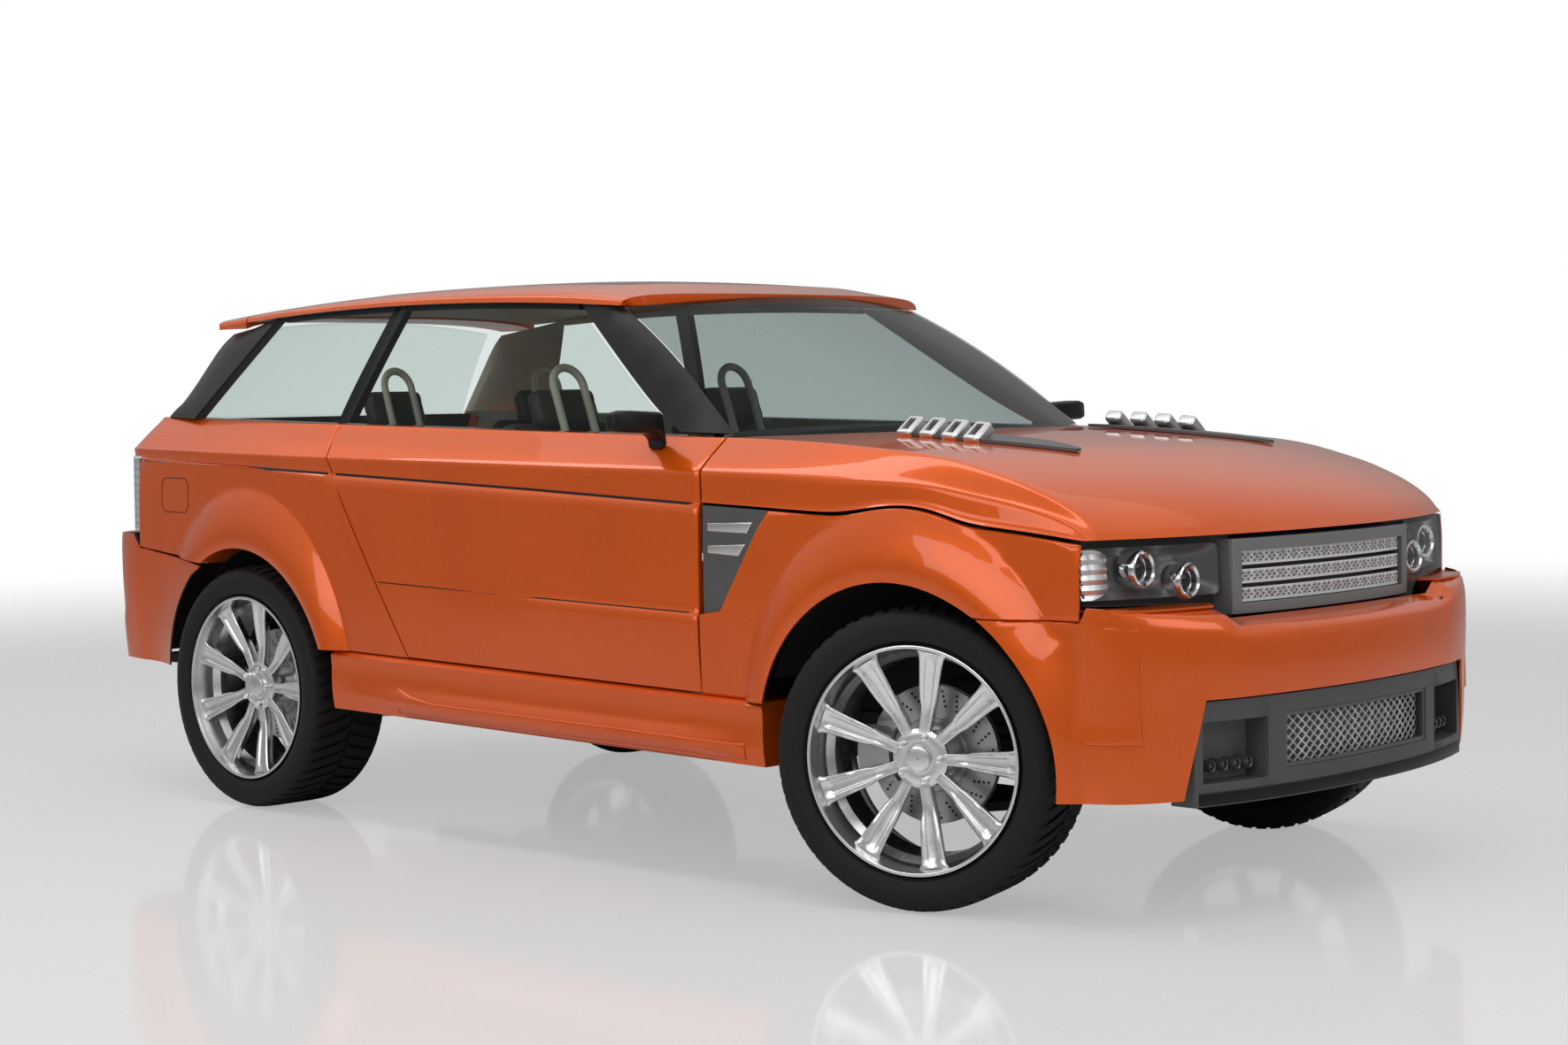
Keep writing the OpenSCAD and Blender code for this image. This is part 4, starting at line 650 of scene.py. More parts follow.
rolling = {"wheel_": (makeWheel(wheel), "alloy"), "tyre_": (makeTyre(tyre), "tyre")}
for code, end, side in (("fl", "front", 1), ("fr", "front", -1), ("rl", "rear", 1), ("rr", "rear", -1)):
    for name, (pattern, finishName) in rolling.items():
        piece = copyPiece(pattern, name + code + "_made")
        piece.matrix_world = cornerPlace(axle, end, side)
        finishPiece(piece, "road_wheel_" + code, finishName, finishName, (name + code,), 32)
for pattern, finishName in rolling.values():
    bpy.data.objects.remove(pattern)
print("wheels and tyres set")

trees = {}


# where a straight line meets a CAD node, so that small pieces sit on what carries them
def onSurface(node, start, toward):
    if node not in trees:
        mesh = frame["nodes"][node].data
        trees[node] = BVHTree.FromPolygons([v.co for v in mesh.vertices], [p.vertices for p in mesh.polygons])
    spot, normal, index, reach = trees[node].ray_cast(Vector(start), Vector(toward))
    return spot


def fromSide(node, x, z, side):
    return onSurface(node, (x, side * 1.6, z), (0, -side, 0))


def fromEnd(node, y, z, end=1):
    return onSurface(node, (end * 3.0, y, z), (-end, 0, 0))


def fromAbove(node, x, y):
    return onSurface(node, (x, y, 2), (0, 0, -1))


# height at x of a line of (x, z) points
def lineHeight(line, x):
    for (xa, za), (xb, zb) in zip(line, line[1:]):
        if xa <= x <= xb:
            return za + (zb - za) * (x - xa) / (xb - xa)
    return line[0][1] if x < line[0][0] else line[-1][1]


# dark strips laid on the panels as painted shade: the shadow line of the groove under the shoulder and of the
# thin crease low on the doors
feature = {
    "groove": [(-1.93, 1.108), (-1.136, 1.087), (-0.681, 1.072), (0.131, 1.043), (0.776, 1.016),
               (1.02, 1.003)],
    "crease": [(-0.56, 0.751), (0.137, 0.736), (0.802, 0.722)], "lift": 0.0006, "deep": 0.004,
    # line, node, ends in x, half height, steps
    "doorGrooveShade_": ("groove", "door_", (-0.77, 0.803), 0.0035, 40),
    "doorCreaseShade_": ("crease", "door_", (-0.56, 0.802), 0.0016, 30),
    "quarterGrooveShade_": ("groove", "rear_quarters", (-1.92, -0.81), 0.0035, 30),
}


def laidStrip(s, name, code, side):
    line, node, ends, half, steps = s[name]
    node = node + code if node == "door_" else node

    def shape(a, b):
        x = ends[0] + (ends[1] - ends[0]) * a
        z = lineHeight(s[line], x) + half * (1 if b > 0.5 else -1)
        spot = fromSide(node, x, z, side)
        return x, (spot.y if spot else side * 0.9) + side * s["lift"], z
    piece = bentGrid(name + code, steps, 1, shape)
    thicken(piece, (0, -side * s["deep"], 0))
    return piece


# each strip gets the near-black joint finish, as painted shade where the groove and the crease fall into
# shadow
for side, code, door in ((1, "l", "door_left"), (-1, "r", "door_right")):
    for name, body in (("doorGrooveShade_", door), ("doorCreaseShade_", door), ("quarterGrooveShade_", "car_body")):
        finishPiece(laidStrip(feature, name, code, side), body, "jointAndShade", "trim")
print("side lines laid")

# two bright vanes in each side vent: corners (x, z) from the top rear one round
vanes = {
    "bars": [[(0.838, 0.968), (1.008, 0.975), (0.988, 0.934), (0.838, 0.937)],
             [(0.838, 0.908), (0.982, 0.917), (0.956, 0.872), (0.838, 0.878)]],
    "outer": 0.9175, "inner": 0.905, "taper": (0.97, 1, 0.62), "about": (0.08, -0.01), "round": (0.0025, 3),
}
for k, bar in enumerate(vanes["bars"]):
    def vaneShape(a, b):
        x, z = bar[(0 if a < 0.5 else 1) if b > 0.5 else (3 if a < 0.5 else 2)]
        return x, vanes["inner"], z
    piece = bentGrid("sideVane_l%d" % k, 1, 1, vaneShape)
    middle = (bar[0][0] + vanes["about"][0], vanes["outer"], bar[0][1] + vanes["about"][1])
    thicken(piece, (0, vanes["outer"] - vanes["inner"], 0), vanes["taper"], middle)
    roundEdges(piece, *vanes["round"])
    finishPair(piece, "car_body", "silver", "alloy")
print("side vanes set")

# four bright pods on each bonnet vent, leaning outward, each with a slot whose floor is painted dark as
# painted shade of the opening
louvre = {
    "x": (1.185, 1.270, 1.352, 1.432), "y": 0.472, "drift": 0.006, "size": (0.066, 0.090, 0.036),
    "lean": 36, "sink": 0.010, "top": (0.80, 0.86, 1), "topFrom": (-0.006, 0, 0), "round": (0.009, 4),
    "rim": 0.006, "slot": (0.002, -0.010), "foot": 0.02,
}


def makeLouvre(s, k):
    piece = addCube("bonnetLouvre_l%d" % k, (0, 0, 0), s["size"])
    for p in piece.data.polygons:
        p.select = p.normal.z > 0.9
    editPicked(piece)
    bpy.ops.mesh.select_mode(type="FACE")
    bpy.ops.transform.resize(value=s["top"], center_override=s["topFrom"])
    doneEdit()
    roundEdges(piece, *s["round"])
    for p in piece.data.polygons:
        p.select = p.normal.z > 0.99
    editPicked(piece)
    bpy.ops.mesh.inset(thickness=s["rim"], depth=0.0)
    bpy.ops.mesh.inset(thickness=s["slot"][0], depth=s["slot"][1])
    doneEdit()
    # the slot floor gets the near-black finish: painted shade for the opening
    twoTone(piece, "silver", "paintedHoleShade", lambda p: p.select)
    y = s["y"] + s["drift"] * k
    behind, ahead = [fromAbove("bonnet_vents", x, y) or fromAbove("bonnet", x, y)
                     for x in (s["x"][k] - s["foot"], s["x"][k] + s["foot"])]
    tilt = math.atan2(behind.z - ahead.z, 2 * s["foot"])
    seat = Matrix.Translation((behind + ahead) / 2 + Vector((0, 0, s["size"][2] / 2 - s["sink"])))
    lean = Matrix.Rotation(-math.radians(s["lean"]), 4, "X")
    piece.data.transform(seat @ Matrix.Rotation(tilt, 4, "Y") @ lean)
    return piece


for k in range(len(louvre["x"])):
    finishPair(makeLouvre(louvre, k), "bonnet_lid", "silver", "alloy")
print("louvres set")


# a sheet of diamond openings in the y, z plane, cut to a half width and two heights
def diamondSheet(name, columns, rows, cell, bar, half, low, high):
    pickNone()
    bpy.ops.mesh.primitive_circle_add(vertices=4, radius=0.5, fill_type="NOTHING")
    piece = bpy.context.object
    piece.name = name
    outer, inner = [[c + sign * bar for c in cell] for sign in (1, -1)]
    editAll(piece)
    bpy.ops.transform.resize(value=(*outer, 1), center_override=(0, 0, 0))
    bpy.ops.mesh.extrude_edges_move()
    bpy.ops.transform.resize(value=(inner[0] / outer[0], inner[1] / outer[1], 1), center_override=(0, 0, 0))
    doneEdit()
    thicken(piece, (0, 0, 0.004))
    editAll(piece)
    bpy.ops.mesh.duplicate_move(TRANSFORM_OT_translate={"value": (cell[0] / 2, cell[1] / 2, 0)})
    doneEdit()
    for count, step in ((columns, (cell[0], 0, 0)), (rows, (0, cell[1], 0))):
        applyModifier(piece, "ARRAY", count=count, use_relative_offset=False, use_constant_offset=True,
                      constant_offset_displace=step)
    wide, tall = (columns - 0.5) * cell[0], (rows - 0.5) * cell[1]
    upright = Matrix(((0, 0, 1, 0), (1, 0, 0, 0), (0, 1, 0, 0), (0, 0, 0, 1)))
    centre = Matrix.Translation((cell[0] / 4 - wide / 2, cell[1] / 4 - tall / 2, 0))
    piece.data.transform(Matrix.Translation((0, 0, (low + high) / 2)) @ upright @ centre)
    for spot, normal in (((0, half, 0), (0, 1, 0)), ((0, -half, 0), (0, -1, 0)),
                         ((0, 0, high), (0, 0, 1)), ((0, 0, low), (0, 0, -1))):
        editAll(piece)
        bpy.ops.mesh.bisect(plane_co=spot, plane_no=normal, clear_outer=True, use_fill=False)
        doneEdit()
    return piece


# three rows of mesh in the grille, each between two rails
grilleLow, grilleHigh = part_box("grille")
grilleRows = {"count": 3, "cell": (0.0225, 0.0155), "bar": 0.0050, "from": 0.031, "step": 0.046,
              "tall": 0.030, "rail": (0.003, 0.005, 0.006), "half": grilleHigh.y - 0.045}


def makeGrilleRow(s, k):
    low = grilleLow.z + s["from"] + k * s["step"]
    high = low + s["tall"]
    front, tall, deep = s["rail"]
    sheet = diamondSheet("grilleMesh_%d" % k, 36, 2, s["cell"], s["bar"], s["half"], low, high)
    for z in (low, high):
        rail = bentGrid("rail", 30, 1, lambda a, b: (front, (2 * a - 1) * s["half"], z + (b - 0.5) * tall))
        thicken(rail, (-deep, 0, 0))
        sheet = joinPieces([sheet, rail], sheet.name)
    for v in sheet.data.vertices:
        v.co.x += fromEnd("grille", v.co.y, low + s["tall"] / 2).x
    return sheet


for k in range(grilleRows["count"]):
    finishPiece(makeGrilleRow(grilleRows, k), "car_body", "meshSilver", "alloy", angle=20)
print("grille mesh set")

# lower air opening: mesh, rim, and a row of small lamps in each side opening
intake = {
    "half": 0.336, "low": 0.369, "high": 0.503, "set": 0.036, "cell": (0.034, 0.026), "bar": 0.004,
    "rim": (0.004, 0.006, 0.011, 0.012, 0.052), "rimLevel": 0.44, "rimShare": 0.97, "rimRound": (0.0015, 2),
    "miss": 2.15, "lampAhead": 0.03, "lampRise": 0.03, "lampY": (0.435, 0.475, 0.515, 0.555), "lampZ": 0.388,
    "cup": [(0.0005, 0.004), (0.006, 0.0055), (0.0095, 0.003), (0.0105, 0.0), (0.0108, 0.010),
            (0.0135, 0.0115), (0.0145, 0.009), (0.0145, -0.03), (0.0005, -0.03)],
}


def makeIntake(s):
    sheet = diamondSheet("intakeMesh", 20, 6, s["cell"], s["bar"], s["half"], s["low"], s["high"])
    for v in sheet.data.vertices:
        spot = fromEnd("bumper_insert", v.co.y, v.co.z)
        v.co.x += (spot.x if spot else s["miss"]) + s["set"]
    finishPiece(sheet, "car_body", "meshSilver", "grey", angle=20)
    wider, taller, band, deep, ahead = s["rim"]
    middle, tall = (s["low"] + s["high"]) / 2, s["high"] - s["low"] + taller
    rim = bentGrid("intakeRim", 24, 1,
                   lambda a, b: (0, (2 * a - 1) * (s["half"] + wider), middle + (b - 0.5) * tall))
    editAll(rim)
    bpy.ops.mesh.inset(thickness=band, depth=0)
    bpy.ops.mesh.delete(type="FACE")
    doneEdit()
    thicken(rim, (deep, 0, 0))
    for v in rim.data.vertices:
        v.co.x += fromEnd("bumper_insert", v.co.y * s["rimShare"], s["rimLevel"]).x + ahead
    roundEdges(rim, *s["rimRound"])
    finishPiece(rim, "car_body", "grey", "grey")


def makeSmallLamps(s):
    cup = turnProfile("smallLampCup", s["cup"], 24)
    for side, code in ((1, "l"), (-1, "r")):
        for k, y in enumerate(s["lampY"]):
            spot = fromEnd("bumper_insert", side * y, s["lampZ"] + s["lampRise"])
            place = Matrix.Translation((spot.x + s["lampAhead"], side * y, s["lampZ"]))
            turn = Matrix.Rotation(math.pi / 2, 4, "Y")
            lamp = copyPiece(cup, "smallLamp_%s%d" % (code, k), place @ turn)
            finishPiece(lamp, "car_body", "lampGrey", "lamp")
    bpy.data.objects.remove(cup)


makeIntake(intake)
makeSmallLamps(intake)
print("intake set")

# the lens and grille reach up to the bonnet's edge and down to the bumper
reachOut = {"headlamps": (0.008, 0.010), "grille": (0.009, 0.0)}
edgeBand = {"top": 0.012, "bottom": 0.008}
for node, (rise, drop) in reachOut.items():
    bottom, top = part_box(node)
    for v in bpy.data.objects[node + "_skin"].data.vertices:
        if v.co.z > top.z - edgeBand["top"]:
            v.co.z += rise
        elif v.co.z < bottom.z + edgeBand["bottom"]:
            v.co.z -= drop

# headlamp insides: dark bowl, two ringed projectors and a ribbed outer reflector
headlamp = {
    "level": 0.87, "bowl": (0.058, 0.036), "bowlY": 0.832, "bowlZ": (0.800, 0.128), "inset": 0.012,
    "bowlThick": 0.003, "bowlMiss": 2.1, "ringTilt": -0.05, "glassFrom": -0.012,
    "rings": [(0.668, 0.872, 1.15), (0.535, 0.838, 1.1)], "ringSet": 0.028, "glassRadius": 0.0245,
    "ring": [(0.0004, 0.006), (0.010, 0.005), (0.018, 0.0015), (0.0235, -0.004), (0.026, -0.010),
             (0.0275, -0.004), (0.031, 0.010), (0.036, 0.0135), (0.040, 0.012), (0.0425, 0.006),
             (0.0425, -0.03), (0.0004, -0.03)],
    "plateY": (0.745, 0.832), "plateZ": (0.802, 0.925), "ribs": 10, "rib": 0.004, "plateSet": 0.022,
    "plateBow": 0.02, "plateThick": 0.002, "plateMiss": 2.06,
}


def lensX(y, z):
    spot = fromEnd("headlamps", y, z)
    return spot.x if spot else None


def makeBowl(s):
    innerY = min(abs(v.co.y) for v in frame["nodes"]["headlamps"].data.vertices) + s["inset"]

    def shape(a, b):
        y = innerY + a * (s["bowlY"] - innerY)
        z = s["bowlZ"][0] + b * s["bowlZ"][1]
        x = lensX(y, z) or lensX(y, s["level"]) or s["bowlMiss"]
        edge = max(abs(a - 0.5), abs(b - 0.5)) * 2
        return x - s["bowl"][0] + s["bowl"][1] * edge ** 6, y, z
    piece = bentGrid("lampBowl_l", 14, 6, shape)
    faceOut(piece)
    applyModifier(piece, "SOLIDIFY", thickness=s["bowlThick"], offset=0)
    applyModifier(piece, "SUBSURF", levels=1, render_levels=1)
    finishPair(piece, "car_body", "lampGrey", "lamp")


def makeProjectors(s):
    ring = turnProfile("projectorRing", s["ring"], 48)
    twoTone(ring, "chrome", "darkGlass",
            lambda p: p.center.to_2d().length < s["glassRadius"] and p.center.z > s["glassFrom"])
    for k, (y, z, scale) in enumerate(s["rings"]):
        place = Matrix.Translation((lensX(y, z) - s["ringSet"], y, z))
        turn = Matrix.Rotation(math.pi / 2 + s["ringTilt"], 4, "Y")
        one = copyPiece(ring, "projector_l%d" % k, place @ turn @ Matrix.Scale(scale, 4))
        finishPair(one, "car_body", "chrome", "lamp")
    bpy.data.objects.remove(ring)


def makeReflector(s):
    (ya, yb), (za, zb) = s["plateY"], s["plateZ"]

    def shape(a, b):
        y, z = ya + a * (yb - ya), za + b * (zb - za)
        x = lensX(y, z) or lensX(y, s["level"]) or s["plateMiss"]
        rib = s["rib"] * (round(b * s["ribs"]) % 2)
        return x - s["plateSet"] - rib - s["plateBow"] * (1 - a) ** 2, y, z
    piece = bentGrid("lampReflector_l", 18, s["ribs"], shape)
    faceOut(piece)
    applyModifier(piece, "SOLIDIFY", thickness=s["plateThick"], offset=0)
    finishPair(piece, "car_body", "silver", "lamp", 20)


makeBowl(headlamp)
makeProjectors(headlamp)
makeReflector(headlamp)
print("headlamps fitted")

# painted shelf between each headlamp and the bumper's top edge
shelf = {"y": (0.50, 0.84), "z": 0.781, "below": 0.012, "set": 0.004, "deep": 0.10, "thick": 0.006}


def makeShelf(s):
    def shape(a, b):
        y = s["y"][0] + a * (s["y"][1] - s["y"][0])
        spot = fromEnd("front_bumper", y, s["z"] - s["below"])
        front = spot.x if spot else lensX(y, headlamp["level"]) + 0.02
        return front - s["set"] - b * s["deep"], y, s["z"]
    piece = bentGrid("lampShelf_l", 20, 2, shape)
    thicken(piece, (0, 0, -s["thick"]))
    finishPair(piece, "car_body", "paint", "paint")


# dark plate that closes the nose under the grille and lamps
nose = {"half": 0.62, "z": 0.695, "below": 0.02, "back": 2.03, "set": 0.05, "thick": 0.004}


def makeTray(s):
    def shape(a, b):
        y = (2 * a - 1) * s["half"]
        front = fromEnd("front_bumper", y, s["z"] - s["below"]).x - s["set"]
        return front if b > 0.5 else s["back"], y, s["z"]
    piece = bentGrid("noseTray", 24, 1, shape)
    thicken(piece, (0, 0, -s["thick"]))
    finishPiece(piece, "car_body", "under", "trim")


# sculpted facet on each bumper corner, proud along its inner edge and its foot
facet = {
    "top": ((2.000, 0.863, 0.747), (2.150, 0.778, 0.738)),
    "foot": ((2.040, 0.850, 0.458), (2.152, 0.7675, 0.458)), "out": (0.493, 0.870, 0.0), "away": 0.4,
    "proud": 0.009, "sink": 0.0015, "thick": 0.018, "round": (0.003, 3, 50),
}


def makeFacet(s):
    outward = Vector(s["out"])
    (topA, topB), (footA, footB) = [[Vector(p) for p in s[key]] for key in ("top", "foot")]

    def shape(a, b):
        spot = topA.lerp(topB, a).lerp(footA.lerp(footB, a), b)
        base = onSurface("front_bumper", spot + outward * s["away"], -outward) or spot
        rise = s["proud"] * (max(b, 0) ** 0.8 * max(a, 0) ** 1.2 + 0.8 * b ** 3 * (1 - a)) - s["sink"]
        return base + outward * rise
    piece = bentGrid("bumperFacet_l", 16, 24, shape)
    thicken(piece, -outward * s["thick"])
    roundEdges(piece, *s["round"])
    finishPair(piece, "car_body", "paint", "paint")


makeShelf(shelf)
makeTray(nose)
makeFacet(facet)
print("bumper corners shaped")

# tail lamps: a clear lens over a ribbed pale block
tailCore = {"share": 0.93}
dressPanel("tail_lamps", "lens", "lamp", levels=1)
core = copyNode("tail_lamps", "tailLampCore")
for side in (1, -1):
    own = [v for v in core.data.vertices if v.co.y * side > 0]
    middle = sum((v.co for v in own), Vector()) / len(own)
    for v in own:
        v.co = middle + (v.co - middle) * tailCore["share"]
editAll(core)
bpy.ops.mesh.remove_doubles(threshold=skin["merge"])
doneEdit()
finishPiece(core, "car_body", "tailRibs", "lamp")
print("tail lamps fitted")


# a patch on the front (1) or rear (-1) end, pushed on to a node
def endPatch(name, node, area, cells, lift, thick, bow=0.0, end=-1):
    half, low, high = area

    def shape(a, b):
        y = (2 * a - 1) * half
        z = low + b * (high - low) + bow * (2 * a - 1) ** 2
        spot = fromEnd(node, y, z, end)
        return (spot.x if spot else end * 2.25) + end * lift, y, z
    piece = bentGrid(name, *cells, shape)
    thicken(piece, (-end * thick, 0, 0))
    roundEdges(piece, 0.002, 2, 50)
    return piece


# both ends: node, (half width, low and high edge), cells, lift, thickness, bow, end; body, finish, slot
insertLow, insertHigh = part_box("bumper_insert")
lipArea = (insertHigh.y - 0.012, insertLow.z + 0.004, insertLow.z + 0.034)
ends = {
    "rearValance": (("rear_bumper", (0.62, 0.445, 0.555), (30, 4), 0.003, 0.006, 0.012),
                    ("car_body", "insert", "grey")),
    "rearStrip": (("rear_bumper", (0.60, 0.462, 0.474), (30, 1), 0.007, 0.006, 0.012),
                  ("car_body", "silver", "alloy")),
    "plateFrame": (("tailgate", (0.272, 0.893, 1.027), (12, 4), 0.004, 0.006),
                   ("tail_lid", "insert", "grey")),
    "blankPlate": (("tailgate", (0.26, 0.905, 1.015), (12, 4), 0.0065, 0.004),
                   ("tail_lid", "lampWhite", "trim")),
    "tailGrip": (("tailgate", (0.33, 1.03, 1.05), (24, 2), 0.010, 0.014), ("tail_lid", "trim", "trim")),
    "frontLip": (("bumper_insert", lipArea, (40, 1), 0.004, 0.008, 0.0, 1), ("car_body", "trim", "trim")),
}
for name, (form, look) in ends.items():
    finishPiece(endPatch(name, *form), *look)
print("ends fitted")

# filler flap on the right quarter: a thin rounded joint line
flap = {"x": (-1.765, -1.590), "z": (0.935, 1.050), "round": 0.03, "joint": 0.0024, "lift": 0.0007,
        "deep": 0.003}


def makeFlap(s):
    (xa, xb), (za, zb) = s["x"], s["z"]
    piece = bentGrid("fillerJoint", 1, 1, lambda a, b: (xa + a * (xb - xa), 0, za + b * (zb - za)))
    editAll(piece)
    bpy.ops.mesh.bevel(offset=s["round"], segments=8, affect="VERTICES")
    bpy.ops.mesh.inset(thickness=s["joint"], depth=0)
    bpy.ops.mesh.delete(type="FACE")
    doneEdit()
    for v in piece.data.vertices:
        v.co.y = fromSide("rear_quarters", v.co.x, v.co.z, -1).y - s["lift"]
    thicken(piece, (0, s["deep"], 0))
    finishPiece(piece, "car_body", "jointAndShade", "trim")


makeFlap(flap)
print("filler flap marked")

# stepped blade along each sill
blade = {
    "x": (-0.47, 0.985), "low": (0.358, 0.342), "lift": 0.0008, "proud": 0.011, "thick": 0.016,
    "fade": (0.12, 0.03), "past": 0.002, "foot": 0.35, "miss": 0.93, "round": (0.003, 3, 50),
    "top": [(-0.47, 0.438), (-0.40, 0.418), (-0.281, 0.404), (0.517, 0.394), (0.985, 0.385)],
}


def makeBlade(s, side, code):
    (xa, xb), (low0, low1) = s["x"], s["low"]

    def shape(a, b):
        x = xa + a * (xb - xa)
        low = low0 + (low1 - low0) * a
        z = low + b * (lineHeight(s["top"], x) - low)
        spot = fromSide("sills", x, z, side)
        ends = min(1.0, (x - xa) / s["fade"][0]) * min(1.0, (xb + s["past"] - x) / s["fade"][1])
        rise = s["lift"] + s["proud"] * ends * (s["foot"] + (1 - s["foot"]) * b)
        return x, (spot.y if spot else side * s["miss"]) + side * rise, z
    piece = bentGrid("sillBlade_" + code, 60, 5, shape)
    thicken(piece, (0, -side * s["thick"], 0))
    roundEdges(piece, *s["round"])
    finishPiece(piece, "car_body", "paint", "paint")


makeBlade(blade, 1, "l")
makeBlade(blade, -1, "r")
print("sill blades set")

# dark brow standing on the dashboard, and a pale strip from it to the windscreen's foot
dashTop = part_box("dashboard")[1].z
brow = {
    "wide": 1.20, "curve": (0.14, 0.05),
    # ends in x, heights, finish, rounding
    "dashBrow": ((0.58, 0.84), (dashTop - 0.015, 1.212), "dash", 0.03),
    "dashStrip": ((0.82, 0.945), (1.152, 1.176), "cream", 0.009),
}


def makeBrow(s, name):
    (xa, xb), (za, zb), finishName, rounded = s[name]
    piece = addCube(name, ((xa + xb) / 2, 0, (za + zb) / 2), (xb - xa, s["wide"], zb - za))
    editAll(piece)
    bpy.ops.mesh.subdivide(number_cuts=8)
    doneEdit()
    roundEdges(piece, rounded, 4)
    for v in piece.data.vertices:
        v.co.x -= s["curve"][0] * v.co.y ** 2
        v.co.z -= s["curve"][1] * v.co.y ** 2 * (1 if v.co.z > za + 0.01 else 0)
    finishPiece(piece, "car_body", finishName, "dash")


makeBrow(brow, "dashBrow")
makeBrow(brow, "dashStrip")
print("dashboard brow set")

# steering wheel: leather rim with a pale band at the top, hub and three spokes
hand = {
    "place": (0.47, 0.37, 0.96), "tilt": -65, "rim": 0.182, "thick": 0.0155, "band": 24,
    "arms": (90, -90, 180), "armPlace": (0.115, 0, 0.004), "armSize": (0.13, 0.03, 0.012),
    "hub": [(0.001, 0.028), (0.04, 0.026), (0.055, 0.02), (0.062, 0.008), (0.058, -0.012),
            (0.03, -0.02), (0.016, -0.03)],
}


def makeHandWheel(s):
    pickNone()
    bpy.ops.mesh.primitive_torus_add(major_radius=s["rim"], minor_radius=s["thick"], major_segments=72,
                                     minor_segments=16)
    rim = bpy.context.object
    twoTone(rim, "hide", "cream",
            lambda p: abs(math.degrees(math.atan2(p.center.y, p.center.x))) < s["band"] / 2)
    hub = turnProfile("handHub", s["hub"], 36)
    hub.data.materials.append(finishes["dash"])
    arm = addCube("handArm", s["armPlace"], s["armSize"])
    editAll(arm)
    bpy.ops.mesh.subdivide(number_cuts=2)
    doneEdit()
    roundEdges(arm, 0.004, 2)
    arm.data.materials.append(finishes["silver"])
    arms = [copyPiece(arm, "handArm", Matrix.Rotation(math.radians(turn), 4, "Z")) for turn in s["arms"]]
    bpy.data.objects.remove(arm)
    whole = joinPieces([rim, hub] + arms, "handWheelMade")
    whole.data.transform(Matrix.Translation(s["place"]) @ Matrix.Rotation(math.radians(s["tilt"]), 4, "Y"))
    finishPiece(whole, "hand_wheel", "hide", "cabin", ("steering_wheel",))


makeHandWheel(hand)
print("steering wheel made")

# seats: padded cushion and back on a shell, a pale loop on the head restraint; blocks are (place, size)
seat = {
    "cushion": ((0.30, 0, 0.685), (0.45, 0.40, 0.085)), "back": ((-0.035, 0, 0.985), (0.075, 0.40, 0.40)),
    "rest": ((-0.165, 0, 1.262), (0.07, 0.25, 0.13)), "shell": ((-0.115, 0, 0.955), (0.075, 0.44, 0.56)),
    "base": ((0.27, 0, 0.625), (0.50, 0.44, 0.09)), "lean": -20, "rise": 4, "padRound": 0.025,
    "shellRound": 0.03, "pressure": 4.0, "frames": 20, "voxel": 0.012, "cap": 0.022,
    "channels": (-0.12, 0.12), "channel": (0.010, 0.008), "facing": 0.4, "backFace": (0.94, 0, 0.34),
    "loop": (0.062, 0.013), "loopLegs": 0.19, "loopPlace": (-0.140, 0, 1.335),
    "rows": {"front": (-0.16, 0.37, 1.0), "rear": (-1.06, 0.33, 0.9)},
}


def softBlock(name, block, lean, rounded):
    place, size = block
    piece = addCube(name, (0, 0, 0), size)
    roundEdges(piece, rounded, 3)
    piece.data.transform(Matrix.Translation(place) @ Matrix.Rotation(math.radians(lean), 4, "Y"))
    return piece


# let a closed block swell like a stuffed pad, no further than the cap
def swell(piece, s):
    applyModifier(piece, "REMESH", mode="VOXEL", voxel_size=s["voxel"])
    start = [v.co.copy() for v in piece.data.vertices]
    makeActive(piece)
    cloth = piece.modifiers.new("cloth", "CLOTH")
    cloth.settings.use_pressure = True
    cloth.settings.uniform_pressure_force = s["pressure"]
    cloth.settings.effector_weights.gravity = 0
    cloth.point_cache.frame_start, cloth.point_cache.frame_end = 1, s["frames"]
    for k in range(1, s["frames"] + 1):
        bpy.context.scene.frame_set(k)
    bpy.ops.object.modifier_apply(modifier="cloth")
    bpy.context.scene.frame_set(1)
    for v, p in zip(piece.data.vertices, start):
        step = v.co - p
        if step.length > s["cap"]:
            v.co = p + step * (s["cap"] / step.length)
    applyModifier(piece, "SUBSURF", levels=1, render_levels=1)
    return piece


# sewn channels: lines along a pad pulled in
def sewChannels(piece, s, facing):
    depth, width = s["channel"]
    for v, n in [(v, v.normal.copy()) for v in piece.data.vertices]:
        if n.dot(facing) > s["facing"]:
            near = min(abs(v.co.y - a) for a in s["channels"])
            v.co -= facing * depth * math.exp(-(near / width) ** 2)


def makeLoop(s):
    pickNone()
    bpy.ops.mesh.primitive_torus_add(major_radius=s["loop"][0], minor_radius=s["loop"][1], major_segments=40,
                                     minor_segments=14, rotation=(0, math.pi / 2, 0))
    loop = bpy.context.object
    bpy.ops.object.transform_apply(rotation=True)
    editAll(loop)
    bpy.ops.mesh.bisect(plane_co=(0, 0, 0), plane_no=(0, 0, -1), clear_outer=True, use_fill=False)
    doneEdit()
    for e in loop.data.edges:
        e.select = all(abs(loop.data.vertices[i].co.z) < 1e-4 for i in e.vertices)
    editPicked(loop)
    bpy.ops.mesh.select_mode(type="EDGE")
    bpy.ops.mesh.extrude_edges_move(TRANSFORM_OT_translate={"value": (0, 0, -s["loopLegs"])})
    bpy.ops.mesh.select_mode(type="VERT")
    doneEdit()
    faceOut(loop)
    loop.data.transform(Matrix.Translation(s["loopPlace"]) @ Matrix.Rotation(math.radians(s["lean"]), 4, "Y"))
    return loop


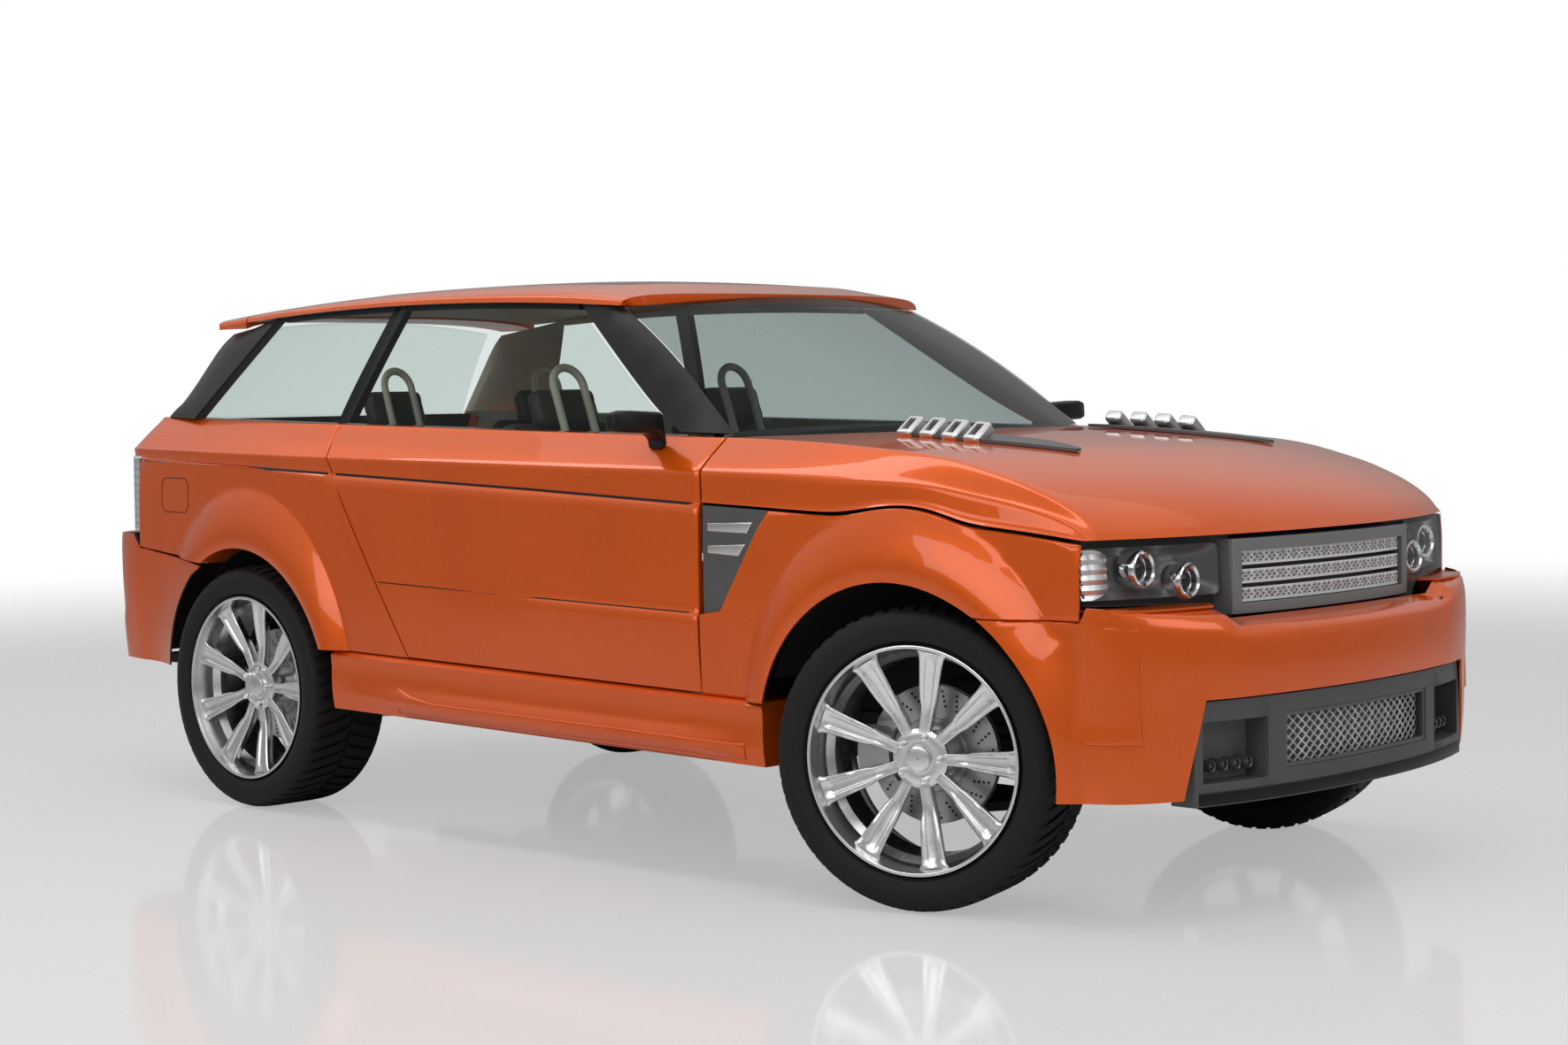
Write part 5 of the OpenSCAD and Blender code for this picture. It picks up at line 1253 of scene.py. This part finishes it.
def makeSeat(s):
    cushion = swell(softBlock("cushion", s["cushion"], s["rise"], s["padRound"]), s)
    sewChannels(cushion, s, Vector((0, 0, 1)))
    back = swell(softBlock("back", s["back"], s["lean"], s["padRound"]), s)
    sewChannels(back, s, Vector(s["backFace"]))
    rest = swell(softBlock("rest", s["rest"], s["lean"], s["padRound"]), s)
    shell = softBlock("shell", s["shell"], s["lean"], s["shellRound"])
    base = softBlock("base", s["base"], s["rise"], s["shellRound"])
    return {"cushion": (cushion, "hide"), "backPad": (back, "hide"), "headRest": (rest, "hide"),
            "seatShell": (joinPieces([shell, base], "shell"), "dash"), "restLoop": (makeLoop(s), "cream")}


patterns = makeSeat(seat)
for row, (x0, y0, scale) in seat["rows"].items():
    for side, code in ((1, "l"), (-1, "r")):
        move = Matrix.Translation((x0, side * y0, 0)) @ Matrix.Diagonal((scale, scale, 1, 1))
        for name, (pattern, finishName) in patterns.items():
            piece = copyPiece(pattern, "%s_%s_%s" % (name, row, code), move)
            gone = (row + "_seats",) if name == "seatShell" else ()
            finishPiece(piece, "car_body", finishName, "cabin", gone)
            finishName == "hide"
for pattern, finishName in patterns.values():
    bpy.data.objects.remove(pattern)
print("seats made")

# floor that fades into the white background
floor = {"size": 60.0, "near": 5.5, "far": 13.0, "colour": (0.82, 0.81, 0.805), "rough": 0.08,
         "glow": 0.95, "share": 0.42}


def floorFinish(s):
    f = Finish("studioFloor")
    reach = f.node("ShaderNodeVectorMath", {"operation": "LENGTH"}, {0: f.place()}, "Value")
    fade = f.node("ShaderNodeMapRange", {"interpolation_type": "SMOOTHSTEP"},
                  {"Value": reach, "From Min": s["near"], "From Max": s["far"]})
    rough = f.spread(f.noise(0.6, 2), s["rough"] * 0.9, s["rough"] * 1.1)
    gloss = f.surface({"Base Color": s["colour"], "Roughness": rough, "Specular IOR Level": 0.5})
    glow = f.node("ShaderNodeEmission", {}, {"Color": (1, 1, 1), "Strength": s["glow"]})
    direct = f.node("ShaderNodeLightPath", out="Is Camera Ray")
    lit = f.node("ShaderNodeMixShader", {}, {0: direct * s["share"], 1: gloss, 2: glow})
    clear = f.node("ShaderNodeBsdfTransparent", {}, {"Color": (1, 1, 1)})
    return f.close(f.node("ShaderNodeMixShader", {}, {0: fade, 1: lit, 2: clear}))


pickNone()
bpy.ops.mesh.primitive_grid_add(x_subdivisions=8, y_subdivisions=8, size=floor["size"])
floorPlane = bpy.context.object
floorPlane.name = "studioFloorPlane"
floorPlane.data.materials.append(floorFinish(floor))

# soft studio light: a pale world, darker low down where it is mirrored, and large softboxes
lights = {
    "world": 0.42, "mirrored": (0.28, 0.66), "rise": (0.02, 0.55),
    # name, place, turn in degrees, size, watts
    "boxes": [("topBox", (0.4, 0.3, 4.8), (0, 0, 0), (8.5, 5.0), 40),
              ("edgeBox", (-0.8, -1.6, 4.6), (0, 0, 0), (11.0, 0.8), 70),
              ("sideBox", (1.5, -7.0, 3.4), (62, 0, 8), (7.0, 2.4), 105),
              ("frontBox", (7.5, 0.5, 3.2), (58, 0, 96), (4.5, 2.2), 60)],
}


def lightWorld(s):
    world = bpy.context.scene.world or bpy.data.worlds.new("studio")
    bpy.context.scene.world = world
    world.use_nodes = True
    f = Finish("studio", world.node_tree)
    seen, mirrored, through = [f.node("ShaderNodeLightPath", out="Is %s Ray" % kind)
                               for kind in ("Camera", "Glossy", "Transmission")]
    direct = f.node("ShaderNodeMath", {"operation": "MAXIMUM"}, {0: seen, 1: through})
    compass = f.node("ShaderNodeTexCoord", out="Generated")
    height = f.node("ShaderNodeSeparateXYZ", {}, {"Vector": compass}, "Z")
    sky = f.node("ShaderNodeMapRange", {"interpolation_type": "SMOOTHSTEP"},
                 {"Value": height, "From Min": s["rise"][0], "From Max": s["rise"][1],
                  "To Min": s["mirrored"][0], "To Max": s["mirrored"][1]})
    strength = direct * (1.0 - s["world"]) + mirrored * (sky - s["world"]) + s["world"]
    back = f.node("ShaderNodeBackground", {}, {"Color": (1.0, 1.0, 1.0), "Strength": strength})
    f.node("ShaderNodeOutputWorld", {}, {"Surface": back})
    for name, place, turn, size, power in s["boxes"]:
        bpy.ops.object.light_add(type="AREA", location=place, rotation=[math.radians(a) for a in turn])
        lamp = bpy.context.object
        lamp.name = name
        lamp.data.shape = "RECTANGLE"
        lamp.data.size, lamp.data.size_y = size
        lamp.data.energy = power


lightWorld(lights)
print("studio lit")
